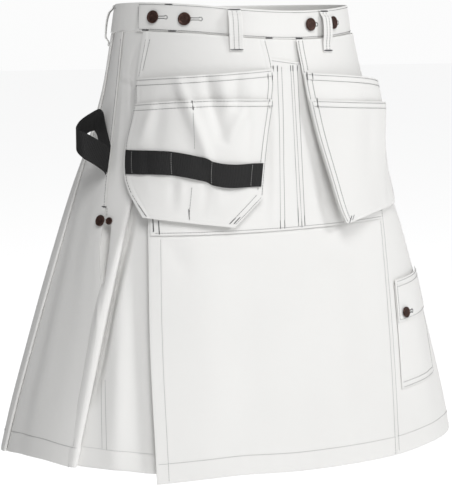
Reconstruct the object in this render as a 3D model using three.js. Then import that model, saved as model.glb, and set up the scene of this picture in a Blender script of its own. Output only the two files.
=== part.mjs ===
import * as THREE from 'three';

// A utility kilt of heavy white canvas, standing as it is worn. Millimetres, +Z up. The front faces -Y,
// the wearer's left is +X, and the origin is the middle of the waist at half the waistband's height.
// Every cloth is addressed by s, the way round from centre front (+ to the wearer's left),
// z, the height, and n, how far the middle of the cloth stands out from the body form.

// Driving dimensions
const CLOTH = 1.6;
const SEAM = 0.3;
const LIE = 0.6;
const LAYER = CLOTH + LIE;
const BAND_HEIGHT = 35;
const BAND_CLOTH = 3.2;
const UNDER_BAND = -(BAND_CLOTH + LIE);
const WEBBING_WIDTH = 32;
const WEBBING_CLOTH = 1.8;
const LOOP_WIDTH = 16.5;
const LOOP_STAND = 8.5;
const BUTTON_RADIUS = 8;
const SMALL_BUTTON_RADIUS = 4.5;
const BUTTON_HEIGHT = 2.8;

// Body form: an oval at each height, from the waist down to the hem.
const FORM = [
  { z: 30, halfWidth: 153, halfDepth: 126, squareness: 2.02 },
  { z: 8, halfWidth: 156.5, halfDepth: 127, squareness: 2.05 },
  { z: -31, halfWidth: 162, halfDepth: 129.5, squareness: 2.1 },
  { z: -82, halfWidth: 171, halfDepth: 133.5, squareness: 2.2 },
  { z: -142, halfWidth: 190, halfDepth: 138, squareness: 2.35 },
  { z: -212, halfWidth: 216, halfDepth: 143, squareness: 2.5 },
  { z: -312, halfWidth: 247, halfDepth: 150, squareness: 2.62 },
  { z: -412, halfWidth: 276, halfDepth: 158, squareness: 2.72 },
  { z: -492, halfWidth: 299, halfDepth: 164, squareness: 2.78 },
  { z: -570, halfWidth: 318, halfDepth: 170, squareness: 2.8 },
];

// Height of the middle of the waistband: it dips at centre front.
const BAND_DIP = [
  { s: -460, z: 0 },
  { s: -300, z: 2 },
  { s: -185, z: 4.5 },
  { s: -120, z: 2 },
  { s: -60, z: -3 },
  { s: 0, z: -5.5 },
  { s: 60, z: -4 },
  { s: 130, z: 0.5 },
  { s: 190, z: 2 },
  { s: 460, z: 0 },
];

// Cutting lines down the garment, given by s at each height.
const APRON_EDGE = [
  { z: 20, s: -185 },
  { z: -250, s: -196 },
  { z: -400, s: -204 },
  { z: -560, s: -206 },
];
const APRON_SEAM = 150;
const SIDE_SEAM = [
  { z: 20, s: -226 },
  { z: -72, s: -241 },
  { z: -183, s: -250 },
  { z: -225, s: -253 },
  { z: -324, s: -259 },
  { z: -390, s: -269 },
  { z: -550, s: -314 },
];
const SIDE_PLEAT = [
  { z: -13, s: -158 },
  { z: -225, s: -218 },
  { z: -542, s: -308 },
];
const LEFT_SEAM = [
  { z: 20, s: 240 },
  { z: -200, s: 282 },
  { z: -560, s: 372 },
];
// Back pleats: the folded edge of each, at the waist and at the hem, with the depth of cloth behind it.
const BACK_PLEATS = [
  { waist: 274, hem: 460, depthWaist: 18, depthHem: 52 },
  { waist: 332, hem: 592, depthWaist: 18, depthHem: 56 },
  { waist: 390, hem: 716, depthWaist: 18, depthHem: 56 },
];
const WAIST_Z = -13;
const HEM_Z = -542;
// Hem heights
const APRON_HEM = [
  { s: -210, z: -554.5 },
  { s: -100, z: -553 },
  { s: 0, z: -558 },
  { s: 150, z: -557 },
  { s: 230, z: -551 },
  { s: 372, z: -544 },
  { s: 500, z: -541 },
  { s: 820, z: -541 },
];
const SIDE_HEM = [
  { s: -820, z: -541 },
  { s: -500, z: -541 },
  { s: -400, z: -532 },
  { s: -350, z: -530 },
  { s: -308, z: -534 },
  { s: -250, z: -538 },
  { s: -206, z: -544 },
  { s: -120, z: -546 },
];

// Holster pockets. Edges are given by s at each height, and a bottom and two mouths by z across the
// pocket, from its outer edge (0) to its inner one (1). The left one hangs askew. hang is how far the
// backing stands off, swing how far its inner edge does besides, lower down, and inner and outer how far
// the pouches belly out.
const HOLSTERS = [
  {
    side: 'right',
    outerEdge: [
      { z: -13, s: -188 },
      { z: -74, s: -200 },
      { z: -105, s: -202 },
      { z: -150, s: -215 },
      { z: -190, s: -218 },
      { z: -208, s: -213 },
      { z: -236, s: -200 },
    ],
    innerEdge: [
      { z: -13, s: -37 },
      { z: -61, s: -28 },
      { z: -98, s: -32 },
      { z: -142, s: -41 },
      { z: -215, s: -53 },
      { z: -247, s: -56 },
    ],
    bottom: [
      { across: 0, z: -236 },
      { across: 0.75, z: -250 },
      { across: 1, z: -215 },
    ],
    innerMouth: [
      { across: 0, z: -74 },
      { across: 0.5, z: -70 },
      { across: 1, z: -61 },
    ],
    outerMouth: [
      { across: 0, z: -101 },
      { across: 0.5, z: -99 },
      { across: 1, z: -97 },
    ],
    hang: 1.5,
    hangEnd: 600,
    swing: 2,
    inner: 12,
    outer: 6.5,
    peak: 1,
    fill: 1,
  },
  {
    side: 'left',
    outerEdge: [
      { z: -13, s: 188 },
      { z: -74, s: 200 },
      { z: -105, s: 202 },
      { z: -150, s: 211 },
      { z: -190, s: 212 },
      { z: -208, s: 206 },
      { z: -236, s: 194 },
    ],
    innerEdge: [
      { z: -13, s: 8 },
      { z: -28, s: 9 },
      { z: -58, s: 13 },
      { z: -98, s: 17 },
      { z: -142, s: 27 },
      { z: -190, s: 39 },
      { z: -236, s: 53 },
      { z: -254, s: 62 },
    ],
    bottom: [
      { across: 0, z: -236 },
      { across: 0.6, z: -244 },
      { across: 1, z: -252 },
    ],
    innerMouth: [
      { across: 0, z: -83 },
      { across: 0.5, z: -71 },
      { across: 1, z: -64 },
    ],
    outerMouth: [
      { across: 0, z: -107 },
      { across: 0.5, z: -102 },
      { across: 1, z: -97 },
    ],
    hang: 4.5,
    hangEnd: 100,
    swing: 9,
    inner: 17,
    outer: 3.5,
    peak: 0.72,
    fill: 1.25,
  },
];

const FINISHES = {
  canvas: new THREE.MeshStandardMaterial({ color: 0xe6e5e2, roughness: 0.85, metalness: 0 }),
  webbing: new THREE.MeshStandardMaterial({ color: 0x1f1f20, roughness: 0.7, metalness: 0 }),
  button: new THREE.MeshStandardMaterial({ color: 0x3a2622, roughness: 0.4, metalness: 0.6 }),
};

const mix = (a, b, t) => a + (b - a) * t;
const ease = (t) => {
  const x = Math.min(1, Math.max(0, t));
  return x * x * (3 - 2 * x);
};
const steps = (count) => Array.from({ length: count + 1 }, (_, i) => i / count);

// A column of a table as a function of another: straight between rows, or a cubic through them.
function straight(table, from, to) {
  const rows = [...table].sort((p, q) => p[from] - q[from]);
  return (x) => {
    const k = Math.max(1, rows.findIndex((row) => row[from] >= x));
    const i = x > rows[rows.length - 1][from] ? rows.length - 1 : k;
    const t = (x - rows[i - 1][from]) / (rows[i][from] - rows[i - 1][from]);
    return mix(rows[i - 1][to], rows[i][to], Math.min(1, Math.max(0, t)));
  };
}
function curve(table, from, to) {
  const rows = [...table].sort((p, q) => p[from] - q[from]);
  const slope = rows.slice(1).map((row, i) => (row[to] - rows[i][to]) / (row[from] - rows[i][from]));
  const tangent = rows.map((_, i) => {
    const before = slope[Math.max(0, i - 1)];
    const after = slope[Math.min(slope.length - 1, i)];
    return (before + after) / 2;
  });
  return (x) => {
    const inside = Math.min(rows[rows.length - 1][from], Math.max(rows[0][from], x));
    const i = Math.max(1, rows.findIndex((row) => row[from] >= inside));
    const span = rows[i][from] - rows[i - 1][from];
    const t = (inside - rows[i - 1][from]) / span;
    const rise = 3 * t * t - 2 * t * t * t;
    return rows[i - 1][to] * (1 - rise) + rows[i][to] * rise
      + span * (tangent[i - 1] * t * (1 - t) * (1 - t) - tangent[i] * t * t * (1 - t));
  };
}

const halfWidthAt = curve(FORM, 'z', 'halfWidth');
const halfDepthAt = curve(FORM, 'z', 'halfDepth');
const squarenessAt = curve(FORM, 'z', 'squareness');
const bandMiddle = curve(BAND_DIP, 's', 'z');
const apronEdge = curve(APRON_EDGE, 'z', 's');
const sideSeam = curve(SIDE_SEAM, 'z', 's');
const sidePleat = curve(SIDE_PLEAT, 'z', 's');
const leftSeam = curve(LEFT_SEAM, 'z', 's');
const apronHem = curve(APRON_HEM, 's', 'z');
const sideHem = curve(SIDE_HEM, 's', 'z');
const BAND_SEAM = 0.6;
const bandBottom = (s) => bandMiddle(s) - BAND_HEIGHT / 2 - BAND_SEAM;
const fall = (z) => Math.min(1, Math.max(0, (WAIST_Z - z) / (WAIST_Z - HEM_Z)));

// Rings of the body form, every RING_STEP of height: half of each, from centre front to centre back,
// with the length along it. An oval's point at angle t from the front is r(t) (sin t, -cos t), with
// r = (|sin t / halfWidth|^k + |cos t / halfDepth|^k)^(-1/k).
const RING_STEP = 5;
const RING_POINTS = 240;
const rings = new Map();
function ring(level) {
  if (rings.has(level)) return rings.get(level);
  const [a, b, k] = [halfWidthAt(level), halfDepthAt(level), squarenessAt(level)];
  const x = [];
  const y = [];
  const arc = [0];
  for (let i = 0; i <= RING_POINTS; i += 1) {
    const t = (Math.PI * i) / RING_POINTS;
    const r = (Math.abs(Math.sin(t) / a) ** k + Math.abs(Math.cos(t) / b) ** k) ** (-1 / k);
    x.push(r * Math.sin(t));
    y.push(-r * Math.cos(t));
    if (i > 0) arc.push(arc[i - 1] + Math.hypot(x[i] - x[i - 1], y[i] - y[i - 1]));
  }
  const made = { a, b, k, x, y, arc, half: arc[RING_POINTS] };
  rings.set(level, made);
  return made;
}
function onRing(level, s, n) {
  const { a, b, k, x, y, arc, half } = ring(level);
  const turned = s - 2 * half * Math.round(s / (2 * half));
  const way = Math.abs(turned);
  let low = 0;
  let high = RING_POINTS;
  while (high - low > 1) {
    const middle = (low + high) >> 1;
    if (arc[middle] > way) high = middle;
    else low = middle;
  }
  const t = (way - arc[low]) / (arc[high] - arc[low]);
  const px = mix(x[low], x[high], t);
  const py = mix(y[low], y[high], t);
  const nx = Math.abs(px) ** (k - 1) / a ** k;
  const ny = (Math.sign(py) * Math.abs(py) ** (k - 1)) / b ** k;
  const length = Math.hypot(nx, ny);
  const side = Math.sign(turned) || 1;
  return [side * (px + (n * nx) / length), py + (n * ny) / length];
}
function point(s, z, n) {
  const level = Math.floor(z / RING_STEP) * RING_STEP;
  const t = (z - level) / RING_STEP;
  const low = onRing(level, s, n);
  const high = onRing(level + RING_STEP, s, n);
  return new THREE.Vector3(mix(low[0], high[0], t), mix(low[1], high[1], t), z);
}
const halfRound = (z) => {
  const level = Math.floor(z / RING_STEP) * RING_STEP;
  return mix(ring(level).half, ring(level + RING_STEP).half, (z - level) / RING_STEP);
};

const kilt = new THREE.Group();
function add(name, finish, geometry) {
  const mesh = new THREE.Mesh(geometry, FINISHES[finish].clone());
  mesh.name = name;
  kilt.add(mesh);
}

// A wall: a grid of points on the middle of the cloth, thickened half each way along its own normals.
function wall(grid, thickness) {
  const columns = grid.length;
  const rows = grid[0].length;
  const end = columns - 1;
  const last = rows - 1;
  const across = new THREE.Vector3();
  const down = new THREE.Vector3();
  const faces = [1, -1].map((side) => grid.map((column, i) => column.map((middle, j) => {
    across.subVectors(grid[Math.min(end, i + 1)][j], grid[Math.max(0, i - 1)][j]);
    down.subVectors(column[Math.min(last, j + 1)], column[Math.max(0, j - 1)]);
    const normal = across.cross(down).normalize();
    return middle.clone().addScaledVector(normal, (side * thickness) / 2);
  })));
  const positions = faces.flat(2).flatMap((p) => [p.x, p.y, p.z]);
  const vertex = (face, i, j) => face * columns * rows + i * rows + j;
  const index = [];
  const quad = (a, b, c, d) => index.push(a, b, c, a, c, d);
  for (let i = 0; i + 1 < columns; i += 1) {
    for (let j = 0; j + 1 < rows; j += 1) {
      quad(vertex(0, i, j), vertex(0, i + 1, j), vertex(0, i + 1, j + 1), vertex(0, i, j + 1));
      quad(vertex(1, i, j), vertex(1, i, j + 1), vertex(1, i + 1, j + 1), vertex(1, i + 1, j));
    }
  }
  for (let i = 0; i + 1 < columns; i += 1) {
    quad(vertex(0, i + 1, 0), vertex(0, i, 0), vertex(1, i, 0), vertex(1, i + 1, 0));
    quad(vertex(0, i, last), vertex(0, i + 1, last), vertex(1, i + 1, last), vertex(1, i, last));
  }
  for (let j = 0; j + 1 < rows; j += 1) {
    quad(vertex(0, 0, j), vertex(0, 0, j + 1), vertex(1, 0, j + 1), vertex(1, 0, j));
    quad(vertex(0, end, j + 1), vertex(0, end, j), vertex(1, end, j), vertex(1, end, j + 1));
  }
  let volume = 0;
  const corner = (k) => new THREE.Vector3().fromArray(positions, 3 * index[k]);
  for (let k = 0; k < index.length; k += 3) volume += corner(k).dot(corner(k + 1).cross(corner(k + 2)));
  if (volume < 0) index.reverse();
  const geometry = new THREE.BufferGeometry();
  geometry.setAttribute('position', new THREE.Float32BufferAttribute(positions, 3));
  geometry.setIndex(index);
  geometry.computeVertexNormals();
  return geometry;
}

// A hanging cloth. Each station is a function of height that gives [s, n]; the top and bottom
// edges are heights by s and by the share of the way across.
function panel(name, { stations, rows, top, bottom, finish = 'canvas', thickness = CLOTH }) {
  const grid = stations.map((station, i) => steps(rows).map((v) => {
    const across = i / (stations.length - 1);
    let z = mix(WAIST_Z, HEM_Z, v);
    for (let pass = 0; pass < 3; pass += 1) {
      const [s] = station(z);
      z = mix(top(s, across), bottom(s, across), v);
    }
    const [s, n] = station(z);
    return point(s, z, n);
  }));
  add(name, finish, wall(grid, thickness));
}

// Stations of a knife pleat that is met from under its folded edge: the cloth runs behind the edge
// for its depth, turns, comes forward to the edge and turns again over itself.
// way is +1 or -1, the direction of travel in s. level(z) is the n of the top layer and
// gap(z) the distance between the layers' middles.
function pleat({ edge, depth, level, gap, way }) {
  const turn = (centre, layer, side, angle) => (z) => {
    const r = gap(z) / 2;
    return [centre(z) + side * way * r * Math.cos(angle), level(z) - gap(z) * layer + r * Math.sin(angle)];
  };
  const back = (z) => edge(z) + way * depth(z);
  const bend = [-Math.PI / 2, 0, Math.PI / 2];
  return [
    ...bend.map((angle) => turn(back, 1.5, 1, angle)),
    ...bend.map((angle) => turn(edge, 0.5, -1, angle)),
  ];
}

const between = (from, to, shares, n) => shares.map((t) => (z) => [mix(from(z), to(z), t), n(z, t)]);

// Waistband: one strip of doubled cloth. It starts under the front at the wearer's right, goes round
// the back and the wearer's left, and its free end laps over its start.
const BAND_START = -0.26;
const BAND_END = -2.412;
const BAND_RISE_FROM = -0.43;
const BAND_RISE_TO = -0.6;
const BAND_COLUMNS = 56;
{
  const grid = steps(BAND_COLUMNS).map((t) => {
    const share = mix(BAND_START, BAND_END, t);
    const n = mix(UNDER_BAND, 0, ease((BAND_RISE_FROM - share) / (BAND_RISE_FROM - BAND_RISE_TO)));
    return steps(2).map((v) => {
      const round = share < -1 ? share + 2 : share;
      const drop = BAND_HEIGHT * (0.5 - v);
      const z = bandMiddle(round * halfRound(drop)) + drop;
      return point(round * halfRound(z), z, n);
    });
  });
  add('waistband', 'canvas', wall(grid, BAND_CLOTH));
}

// Apron: the flat front panel, from its free edge at the wearer's right to the seam at the left.
const apronShares = steps(22).map((t) => t ** 1.2);
const apron = between(apronEdge, () => APRON_SEAM, apronShares, () => 0);
panel('apron_front', { stations: apron, rows: 11, top: bandBottom, bottom: apronHem });

// Pocket panel: one cloth sewn on the apron, stitched down the middle into two pockets.
const POCKET_TOP = [
  { s: -190, z: -46 },
  { s: -28, z: -46 },
  { s: 8, z: -51 },
  { s: 150, z: -51 },
];
const pocketTop = curve(POCKET_TOP, 's', 'z');
const POCKET_BOTTOM = [
  { s: -190, z: -258 },
  { s: 0, z: -257 },
  { s: 150, z: -253 },
];
const pocketBottom = curve(POCKET_BOTTOM, 's', 'z');
const POCKET_INSET = 3;
const POCKET_LEVEL = LAYER + 0.4;
panel('pocket_panel', {
  stations: apron.map((station) => (z) => {
    const inside = Math.max(apronEdge(z) + POCKET_INSET, station(z)[0]);
    return [Math.min(APRON_SEAM - POCKET_INSET, inside), POCKET_LEVEL];
  }),
  rows: 6,
  top: pocketTop,
  bottom: pocketBottom,
});

// Side panel of the wearer's right: it starts behind the apron, makes the deep side pleat and ends
// under the edge of the back panel, where it is seamed above the slit and free below it.
const SLIT_LAP = 12;
const CONCEALED_EDGE = -128;
const sideLevel = (z) => mix(-2.6, -3.2, fall(z));
const sideGap = (z) => mix(2.2, 4.2, fall(z));
const sideDepth = (z) => mix(16, 44, fall(z));
const underLevel = (z) => sideLevel(z) - 2 * sideGap(z);
panel('side_panel_right', {
  stations: [
    ...between(() => CONCEALED_EDGE, (z) => sidePleat(z), [0, 0.25, 0.5, 0.75, 1], underLevel),
    ...pleat({ edge: sidePleat, depth: sideDepth, level: sideLevel, gap: sideGap, way: -1 }),
    ...between(sidePleat, (z) => sideSeam(z) - SLIT_LAP, [0.34, 0.67, 1], sideLevel),
  ],
  rows: 11,
  top: bandBottom,
  bottom: sideHem,
});

// Side panel of the wearer's left: flat, from the apron's seam to the seam of the back.
panel('side_panel_left', {
  stations: between(() => APRON_SEAM + SEAM, (z) => leftSeam(z) - SEAM / 2, steps(8), () => 0),
  rows: 11,
  top: bandBottom,
  bottom: apronHem,
});

// Back panels: two halves that meet at the centre back, each with knife pleats facing forward.
const BACK_GAP_WAIST = 2.2;
const BACK_GAP_HEM = 5;
const backGap = (z) => mix(BACK_GAP_WAIST, BACK_GAP_HEM, fall(z));
const backLevel = (z) => 3 * fall(z);
const backValley = (z) => backLevel(z) - 2 * backGap(z);
const centreBack = (z) => halfRound(z) - SEAM / 2;
const BACK_SIDES = [
  { name: 'back_panel_right', way: -1, start: (z) => -sideSeam(z), hemAt: sideHem },
  { name: 'back_panel_left', way: 1, start: (z) => leftSeam(z) + SEAM / 2, hemAt: apronHem },
];
BACK_SIDES.forEach(({ name, way, start, hemAt }) => {
  const stations = [];
  let from = start;
  let fromLevel = () => 0;
  BACK_PLEATS.forEach(({ waist, hem: atHem, depthWaist, depthHem }) => {
    const edge = (z) => mix(waist, atHem, fall(z));
    const [a, level] = [from, fromLevel];
    const sink = (z, t) => mix(level(z), backValley(z), ease((t - 0.35) / 0.55));
    stations.push(...between(a, edge, [0, 0.2, 0.38, 0.6, 0.8, 1], sink));
    const depth = (z) => mix(depthWaist, depthHem, fall(z));
    stations.push(...pleat({ edge, depth, level: backLevel, gap: backGap, way: 1 }));
    from = (z) => edge(z) + 0.05 * depth(z);
    fromLevel = backLevel;
  });
  const [a, level] = [from, fromLevel];
  stations.push(...between(a, centreBack, [0.34, 0.67, 1], (z, t) => mix(level(z), 0, t)));
  const turned = way > 0 ? stations : stations.map((station) => (z) => {
    const [s, n] = station(z);
    return [-s, n];
  });
  panel(name, { stations: turned, rows: 11, top: bandBottom, bottom: hemAt });
});

// Holster pockets: on each side a backing that hangs from the waistband, an inner pouch and an outer
// pouch on it. across runs from the outer edge (0) to the inner one (1).
const BACKING_LEVEL = POCKET_LEVEL + LAYER;
const POUCH_EASE = 0.3;
const HOLSTER_COLUMNS = [0, 0.08, 0.2, 0.33, 0.46, 0.58, 0.7, 0.8, 0.9, 1];
const inRange = (t) => Math.min(1, Math.max(0, t));
// A holster's s, the edges of its cloths, and the n of each of its three cloths.
function holster(shape) {
  const outerEdge = curve(shape.outerEdge, 'z', 's');
  const innerEdge = curve(shape.innerEdge, 'z', 's');
  const bottom = straight(shape.bottom, 'across', 'z');
  const innerMouth = curve(shape.innerMouth, 'across', 'z');
  const outerMouth = curve(shape.outerMouth, 'across', 'z');
  const at = (z, across) => mix(outerEdge(z), innerEdge(z), across);
  const filled = (z, across) => inRange((z - bottom(across)) / (innerMouth(across) - bottom(across)));
  const belly = (z, across) => Math.sin(Math.PI * inRange(across) ** shape.peak) ** 0.8
    * Math.sin((Math.PI / 2) * filled(z, across) ** shape.fill) ** 1.3;
  const backing = (z, across) => BACKING_LEVEL
    + shape.hang * ease((WAIST_Z - z) / 90) * (1 - ease((-90 - z) / shape.hangEnd))
    + shape.swing * ease((across - 0.3) / 0.7) * ease((-50 - z) / 180);
  const innerPouch = (z, across) => backing(z, across) + LAYER + shape.inner * belly(z, across);
  const outerPouch = (z, across) => innerPouch(z, across) + LAYER + POUCH_EASE
    + shape.outer * belly(z, across);
  return { at, bottom, innerMouth, outerMouth, backing, innerPouch, outerPouch };
}
const [rightHolster, leftHolster] = HOLSTERS.map(holster);
function holsterPanel(name, { at, bottom }, rows, level, top) {
  const columns = at(-20, 0) < at(-20, 1) ? HOLSTER_COLUMNS : [...HOLSTER_COLUMNS].reverse();
  const grid = columns.map((across) => steps(rows).map((v) => {
    const guess = mix(top(across, at(-20, across)), bottom(across), v);
    const z = mix(top(across, at(guess, across)), bottom(across), v);
    return point(at(z, across), z, level(z, across));
  }));
  add(name, 'canvas', wall(grid, CLOTH));
}
[['right', rightHolster], ['left', leftHolster]].forEach(([side, form]) => {
  holsterPanel(`holster_backing_${side}`, form, 9, form.backing, (across, s) => bandBottom(s));
  holsterPanel(`holster_inner_pouch_${side}`, form, 8, form.innerPouch, form.innerMouth);
  holsterPanel(`holster_outer_pouch_${side}`, form, 8, form.outerPouch, form.outerMouth);
});

// Tool webbing across the outer pouch of the right holster, held by cross stitches: it stands off a
// little between them.
const WEBBING_ROUTE = [
  { across: 0.02, z: -171.5 },
  { across: 0.43, z: -173.5 },
  { across: 0.62, z: -182 },
  { across: 0.7, z: -185.5 },
  { across: 0.97, z: -187.5 },
];
const WEBBING_HELD = [0.02, 0.16, 0.42, 0.64, 0.93, 0.97];
const WEBBING_BOW = 9;
{
  const route = curve(WEBBING_ROUTE, 'across', 'z');
  const spans = WEBBING_HELD.slice(1).map((to, i) => ({ from: WEBBING_HELD[i], to, skip: i > 0 ? 1 : 0 }));
  const shares = spans.flatMap(({ from, to, skip }) => steps(4).slice(skip)
    .map((t) => ({ across: mix(from, to, t), bow: Math.sin(Math.PI * t) * (to - from) })));
  const grid = shares.map(({ across, bow }) => steps(3).map((v) => {
    const z = route(across) + WEBBING_WIDTH * (0.5 - v);
    const n = rightHolster.outerPouch(z, across) + (CLOTH + WEBBING_CLOTH) / 2 + SEAM + 0.2
      + WEBBING_BOW * bow;
    return point(rightHolster.at(z, across), z, n);
  }));
  add('tool_webbing', 'webbing', wall(grid, WEBBING_CLOTH));
}

// Hammer loop: webbing whose two ends are caught one over the other in the right side seam. It lies on
// the hip up to its highest place, turns there and comes back round in front, standing off. Each row
// gives [s, z, n] at its upper and lower edge.
const HAMMER_PATH = [
  [[-246.5, -154, 1.9], [-250.5, -186, 1.9]],
  [[-254, -139, 2.4], [-260, -169, 2.6]],
  [[-262, -124, 3.2], [-269, -154, 3.6]],
  [[-269, -112, 4.5], [-276, -141, 5]],
  [[-272, -110, 8], [-279, -137, 7]],
  [[-272, -114, 17], [-279, -137, 9]],
  [[-271, -120, 28], [-278, -139, 16]],
  [[-266, -126, 38], [-272, -147, 29]],
  [[-258, -132, 44.5], [-261, -159, 40.5]],
  [[-252, -135, 42], [-253, -166, 39.5]],
  [[-249, -140, 32], [-250, -172, 29.5]],
  [[-246, -147, 19.5], [-249, -179, 17]],
  [[-245.5, -153, 9], [-249, -185, 7.5]],
  [[-245.5, -156, 4.4], [-250, -188, 4.4]],
];
{
  const [upper, lower] = [0, 1].map((edge) => new THREE.CatmullRomCurve3(
    HAMMER_PATH.map((row) => new THREE.Vector3(...row[edge])),
    false,
    'centripetal',
  ));
  const grid = steps(39).map((t) => {
    const [from, to] = [upper.getPoint(t), lower.getPoint(t)];
    return steps(2).map((v) => point(mix(from.x, to.x, v), mix(from.y, to.y, v), mix(from.z, to.z, v)));
  });
  add('hammer_loop', 'webbing', wall(grid, WEBBING_CLOTH));
}

// Leg pocket of the wearer's left, with its flap.
const LEG_POCKET = { front: 164, width: 92, top: -340, bottom: -474, rise: 8, belly: 6 };
const legPocketS = (across) => LEG_POCKET.front + LEG_POCKET.width * across;
const legRise = (across) => LEG_POCKET.rise * across;
const legBelly = (across, down) => LEG_POCKET.belly * Math.sin(Math.PI * across) ** 0.8
  * Math.sin(Math.PI * mix(0.18, 1, down));
const legPocket = (z, across) => {
  const down = (LEG_POCKET.top + legRise(across) - z) / (LEG_POCKET.top - LEG_POCKET.bottom);
  return LAYER + legBelly(across, Math.min(1, Math.max(0, down)));
};
const FLAP = { top: -334, bottom: -388 };
{
  const cloth = (top, bottom, rows, level) => steps(8).map((across) => steps(rows).map((v) => {
    const z = mix(top, bottom, v) + legRise(across);
    return point(legPocketS(across), z, level(z, across));
  }));
  const onPocket = (z, across) => legPocket(z, across) + LAYER;
  add('leg_pocket', 'canvas', wall(cloth(LEG_POCKET.top, LEG_POCKET.bottom, 8, legPocket), CLOTH));
  add('leg_pocket_flap', 'canvas', wall(cloth(FLAP.top, FLAP.bottom, 4, onPocket), CLOTH));
}

// Belt loops: strips sewn at the top edge of the waistband and below it, bowed off between.
const onBacking = ({ backing }) => (z) => backing(z, 0.75) + LAYER;
const BELT_LOOPS = [
  { name: 'belt_loop_front_right', line: () => -73, foot: onBacking(rightHolster) },
  { name: 'belt_loop_front_left', line: () => 58, foot: onBacking(leftHolster) },
  { name: 'belt_loop_side_right', line: () => -296, foot: () => LAYER },
  { name: 'belt_loop_side_left', line: () => 296, foot: () => LAYER },
  { name: 'belt_loop_back', line: halfRound, foot: () => LAYER },
];
const BAND_FACE = BAND_CLOTH / 2 + CLOTH / 2 + SEAM;
BELT_LOOPS.forEach(({ name, line, foot }) => {
  const middle = bandMiddle(line(0));
  const path = [
    { z: 17, n: BAND_FACE },
    { z: 13, n: BAND_FACE + 0.6 },
    { z: 8, n: LOOP_STAND * 0.82 },
    { z: 0, n: LOOP_STAND },
    { z: -9, n: LOOP_STAND },
    { z: -17, n: LOOP_STAND * 0.93 },
    { z: -24, n: Math.max(foot(-24) + 0.4, LOOP_STAND * 0.8) },
    { z: -30, n: foot(-30) + 0.4 },
    { z: -35, n: foot(-35) },
  ];
  const grid = steps(2).map((v) => path.map(({ z, n }) => {
    const height = middle + z;
    return point(line(height) + LOOP_WIDTH * (v - 0.5), height, n);
  }));
  add(name, 'canvas', wall(grid, CLOTH));
});

// Buttons: domed metal caps with a rim, standing on the cloth and turned to face outwards.
const BUTTON_PROFILE = [[0, 0], [0.8, 0], [1, 0.3], [1, 0.75], [0.84, 1], [0.7, 0.78], [0, 0.86]];
const CAP_SIDES = 14;
function button(name, radius, s, z, n) {
  const profile = BUTTON_PROFILE.map(([r, h]) => new THREE.Vector2(r * radius, h * BUTTON_HEIGHT));
  const geometry = new THREE.LatheGeometry(profile, CAP_SIDES);
  const across = point(s + 1, z, n).sub(point(s - 1, z, n));
  const up = point(s, z + 1, n).sub(point(s, z - 1, n));
  const outward = across.cross(up).normalize();
  geometry.applyQuaternion(new THREE.Quaternion().setFromUnitVectors(new THREE.Vector3(0, 1, 0), outward));
  const seat = point(s, z, n);
  geometry.translate(seat.x, seat.y, seat.z);
  add(name, 'button', geometry);
}
const ON_BAND = BAND_CLOTH / 2 + SEAM;
const ON_CLOTH = CLOTH / 2 + SEAM;
button('waist_button_right_outer', BUTTON_RADIUS, -174.5, 4.3, ON_BAND);
button('waist_button_right_inner', BUTTON_RADIUS, -133.5, 2, ON_BAND);
button('waist_button_left_inner', BUTTON_RADIUS, 33, -5, ON_BAND);
button('waist_button_left_outer', BUTTON_RADIUS, 78, -3, ON_BAND);
button('slit_button_back', BUTTON_RADIUS - 1, -260, -243, ON_CLOTH);
button('slit_button_front', SMALL_BUTTON_RADIUS, -248, -243, sideLevel(-243) + ON_CLOTH);
const FLAP_BUTTON = { s: 178, z: -376 };
const flapLevel = legPocket(FLAP_BUTTON.z, (FLAP_BUTTON.s - LEG_POCKET.front) / LEG_POCKET.width) + LAYER;
button('leg_pocket_button', BUTTON_RADIUS - 1, FLAP_BUTTON.s, FLAP_BUTTON.z, flapLevel + ON_CLOTH + LIE);

export default kilt;
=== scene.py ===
# A utility kilt of heavy white canvas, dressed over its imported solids. Sizes are in millimetres until a
# mesh is made. The front faces -Y, the wearer's left is +X, and the origin is the middle of the waist.
import math

import bpy
import numpy as np
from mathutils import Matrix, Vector


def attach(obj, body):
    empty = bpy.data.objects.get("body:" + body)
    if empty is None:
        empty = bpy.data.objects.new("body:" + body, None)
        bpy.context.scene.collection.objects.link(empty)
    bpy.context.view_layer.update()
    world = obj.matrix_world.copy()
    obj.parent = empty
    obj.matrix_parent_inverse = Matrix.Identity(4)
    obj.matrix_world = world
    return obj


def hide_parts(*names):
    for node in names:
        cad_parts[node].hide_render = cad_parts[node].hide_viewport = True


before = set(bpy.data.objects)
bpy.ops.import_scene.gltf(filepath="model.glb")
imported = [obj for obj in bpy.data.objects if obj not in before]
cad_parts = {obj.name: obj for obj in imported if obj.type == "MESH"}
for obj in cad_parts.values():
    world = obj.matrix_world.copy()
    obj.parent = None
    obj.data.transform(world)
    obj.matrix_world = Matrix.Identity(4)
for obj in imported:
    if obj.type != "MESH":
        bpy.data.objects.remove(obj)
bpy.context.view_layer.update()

# Camera: a long lens at the wearer's right front, at the height of the waist, looking a little down at
# the middle of the kilt.
CAMERA_AZIMUTH = math.radians(-33)
CAMERA_ELEVATION = math.radians(6.4)
CAMERA_DISTANCE = 2.7
CAMERA_AIM = Vector((-0.0088, 0, -0.289))
CAMERA_FOCAL_PIXELS = 2080
PICTURE_HEIGHT = 488
SENSOR = 36

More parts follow.
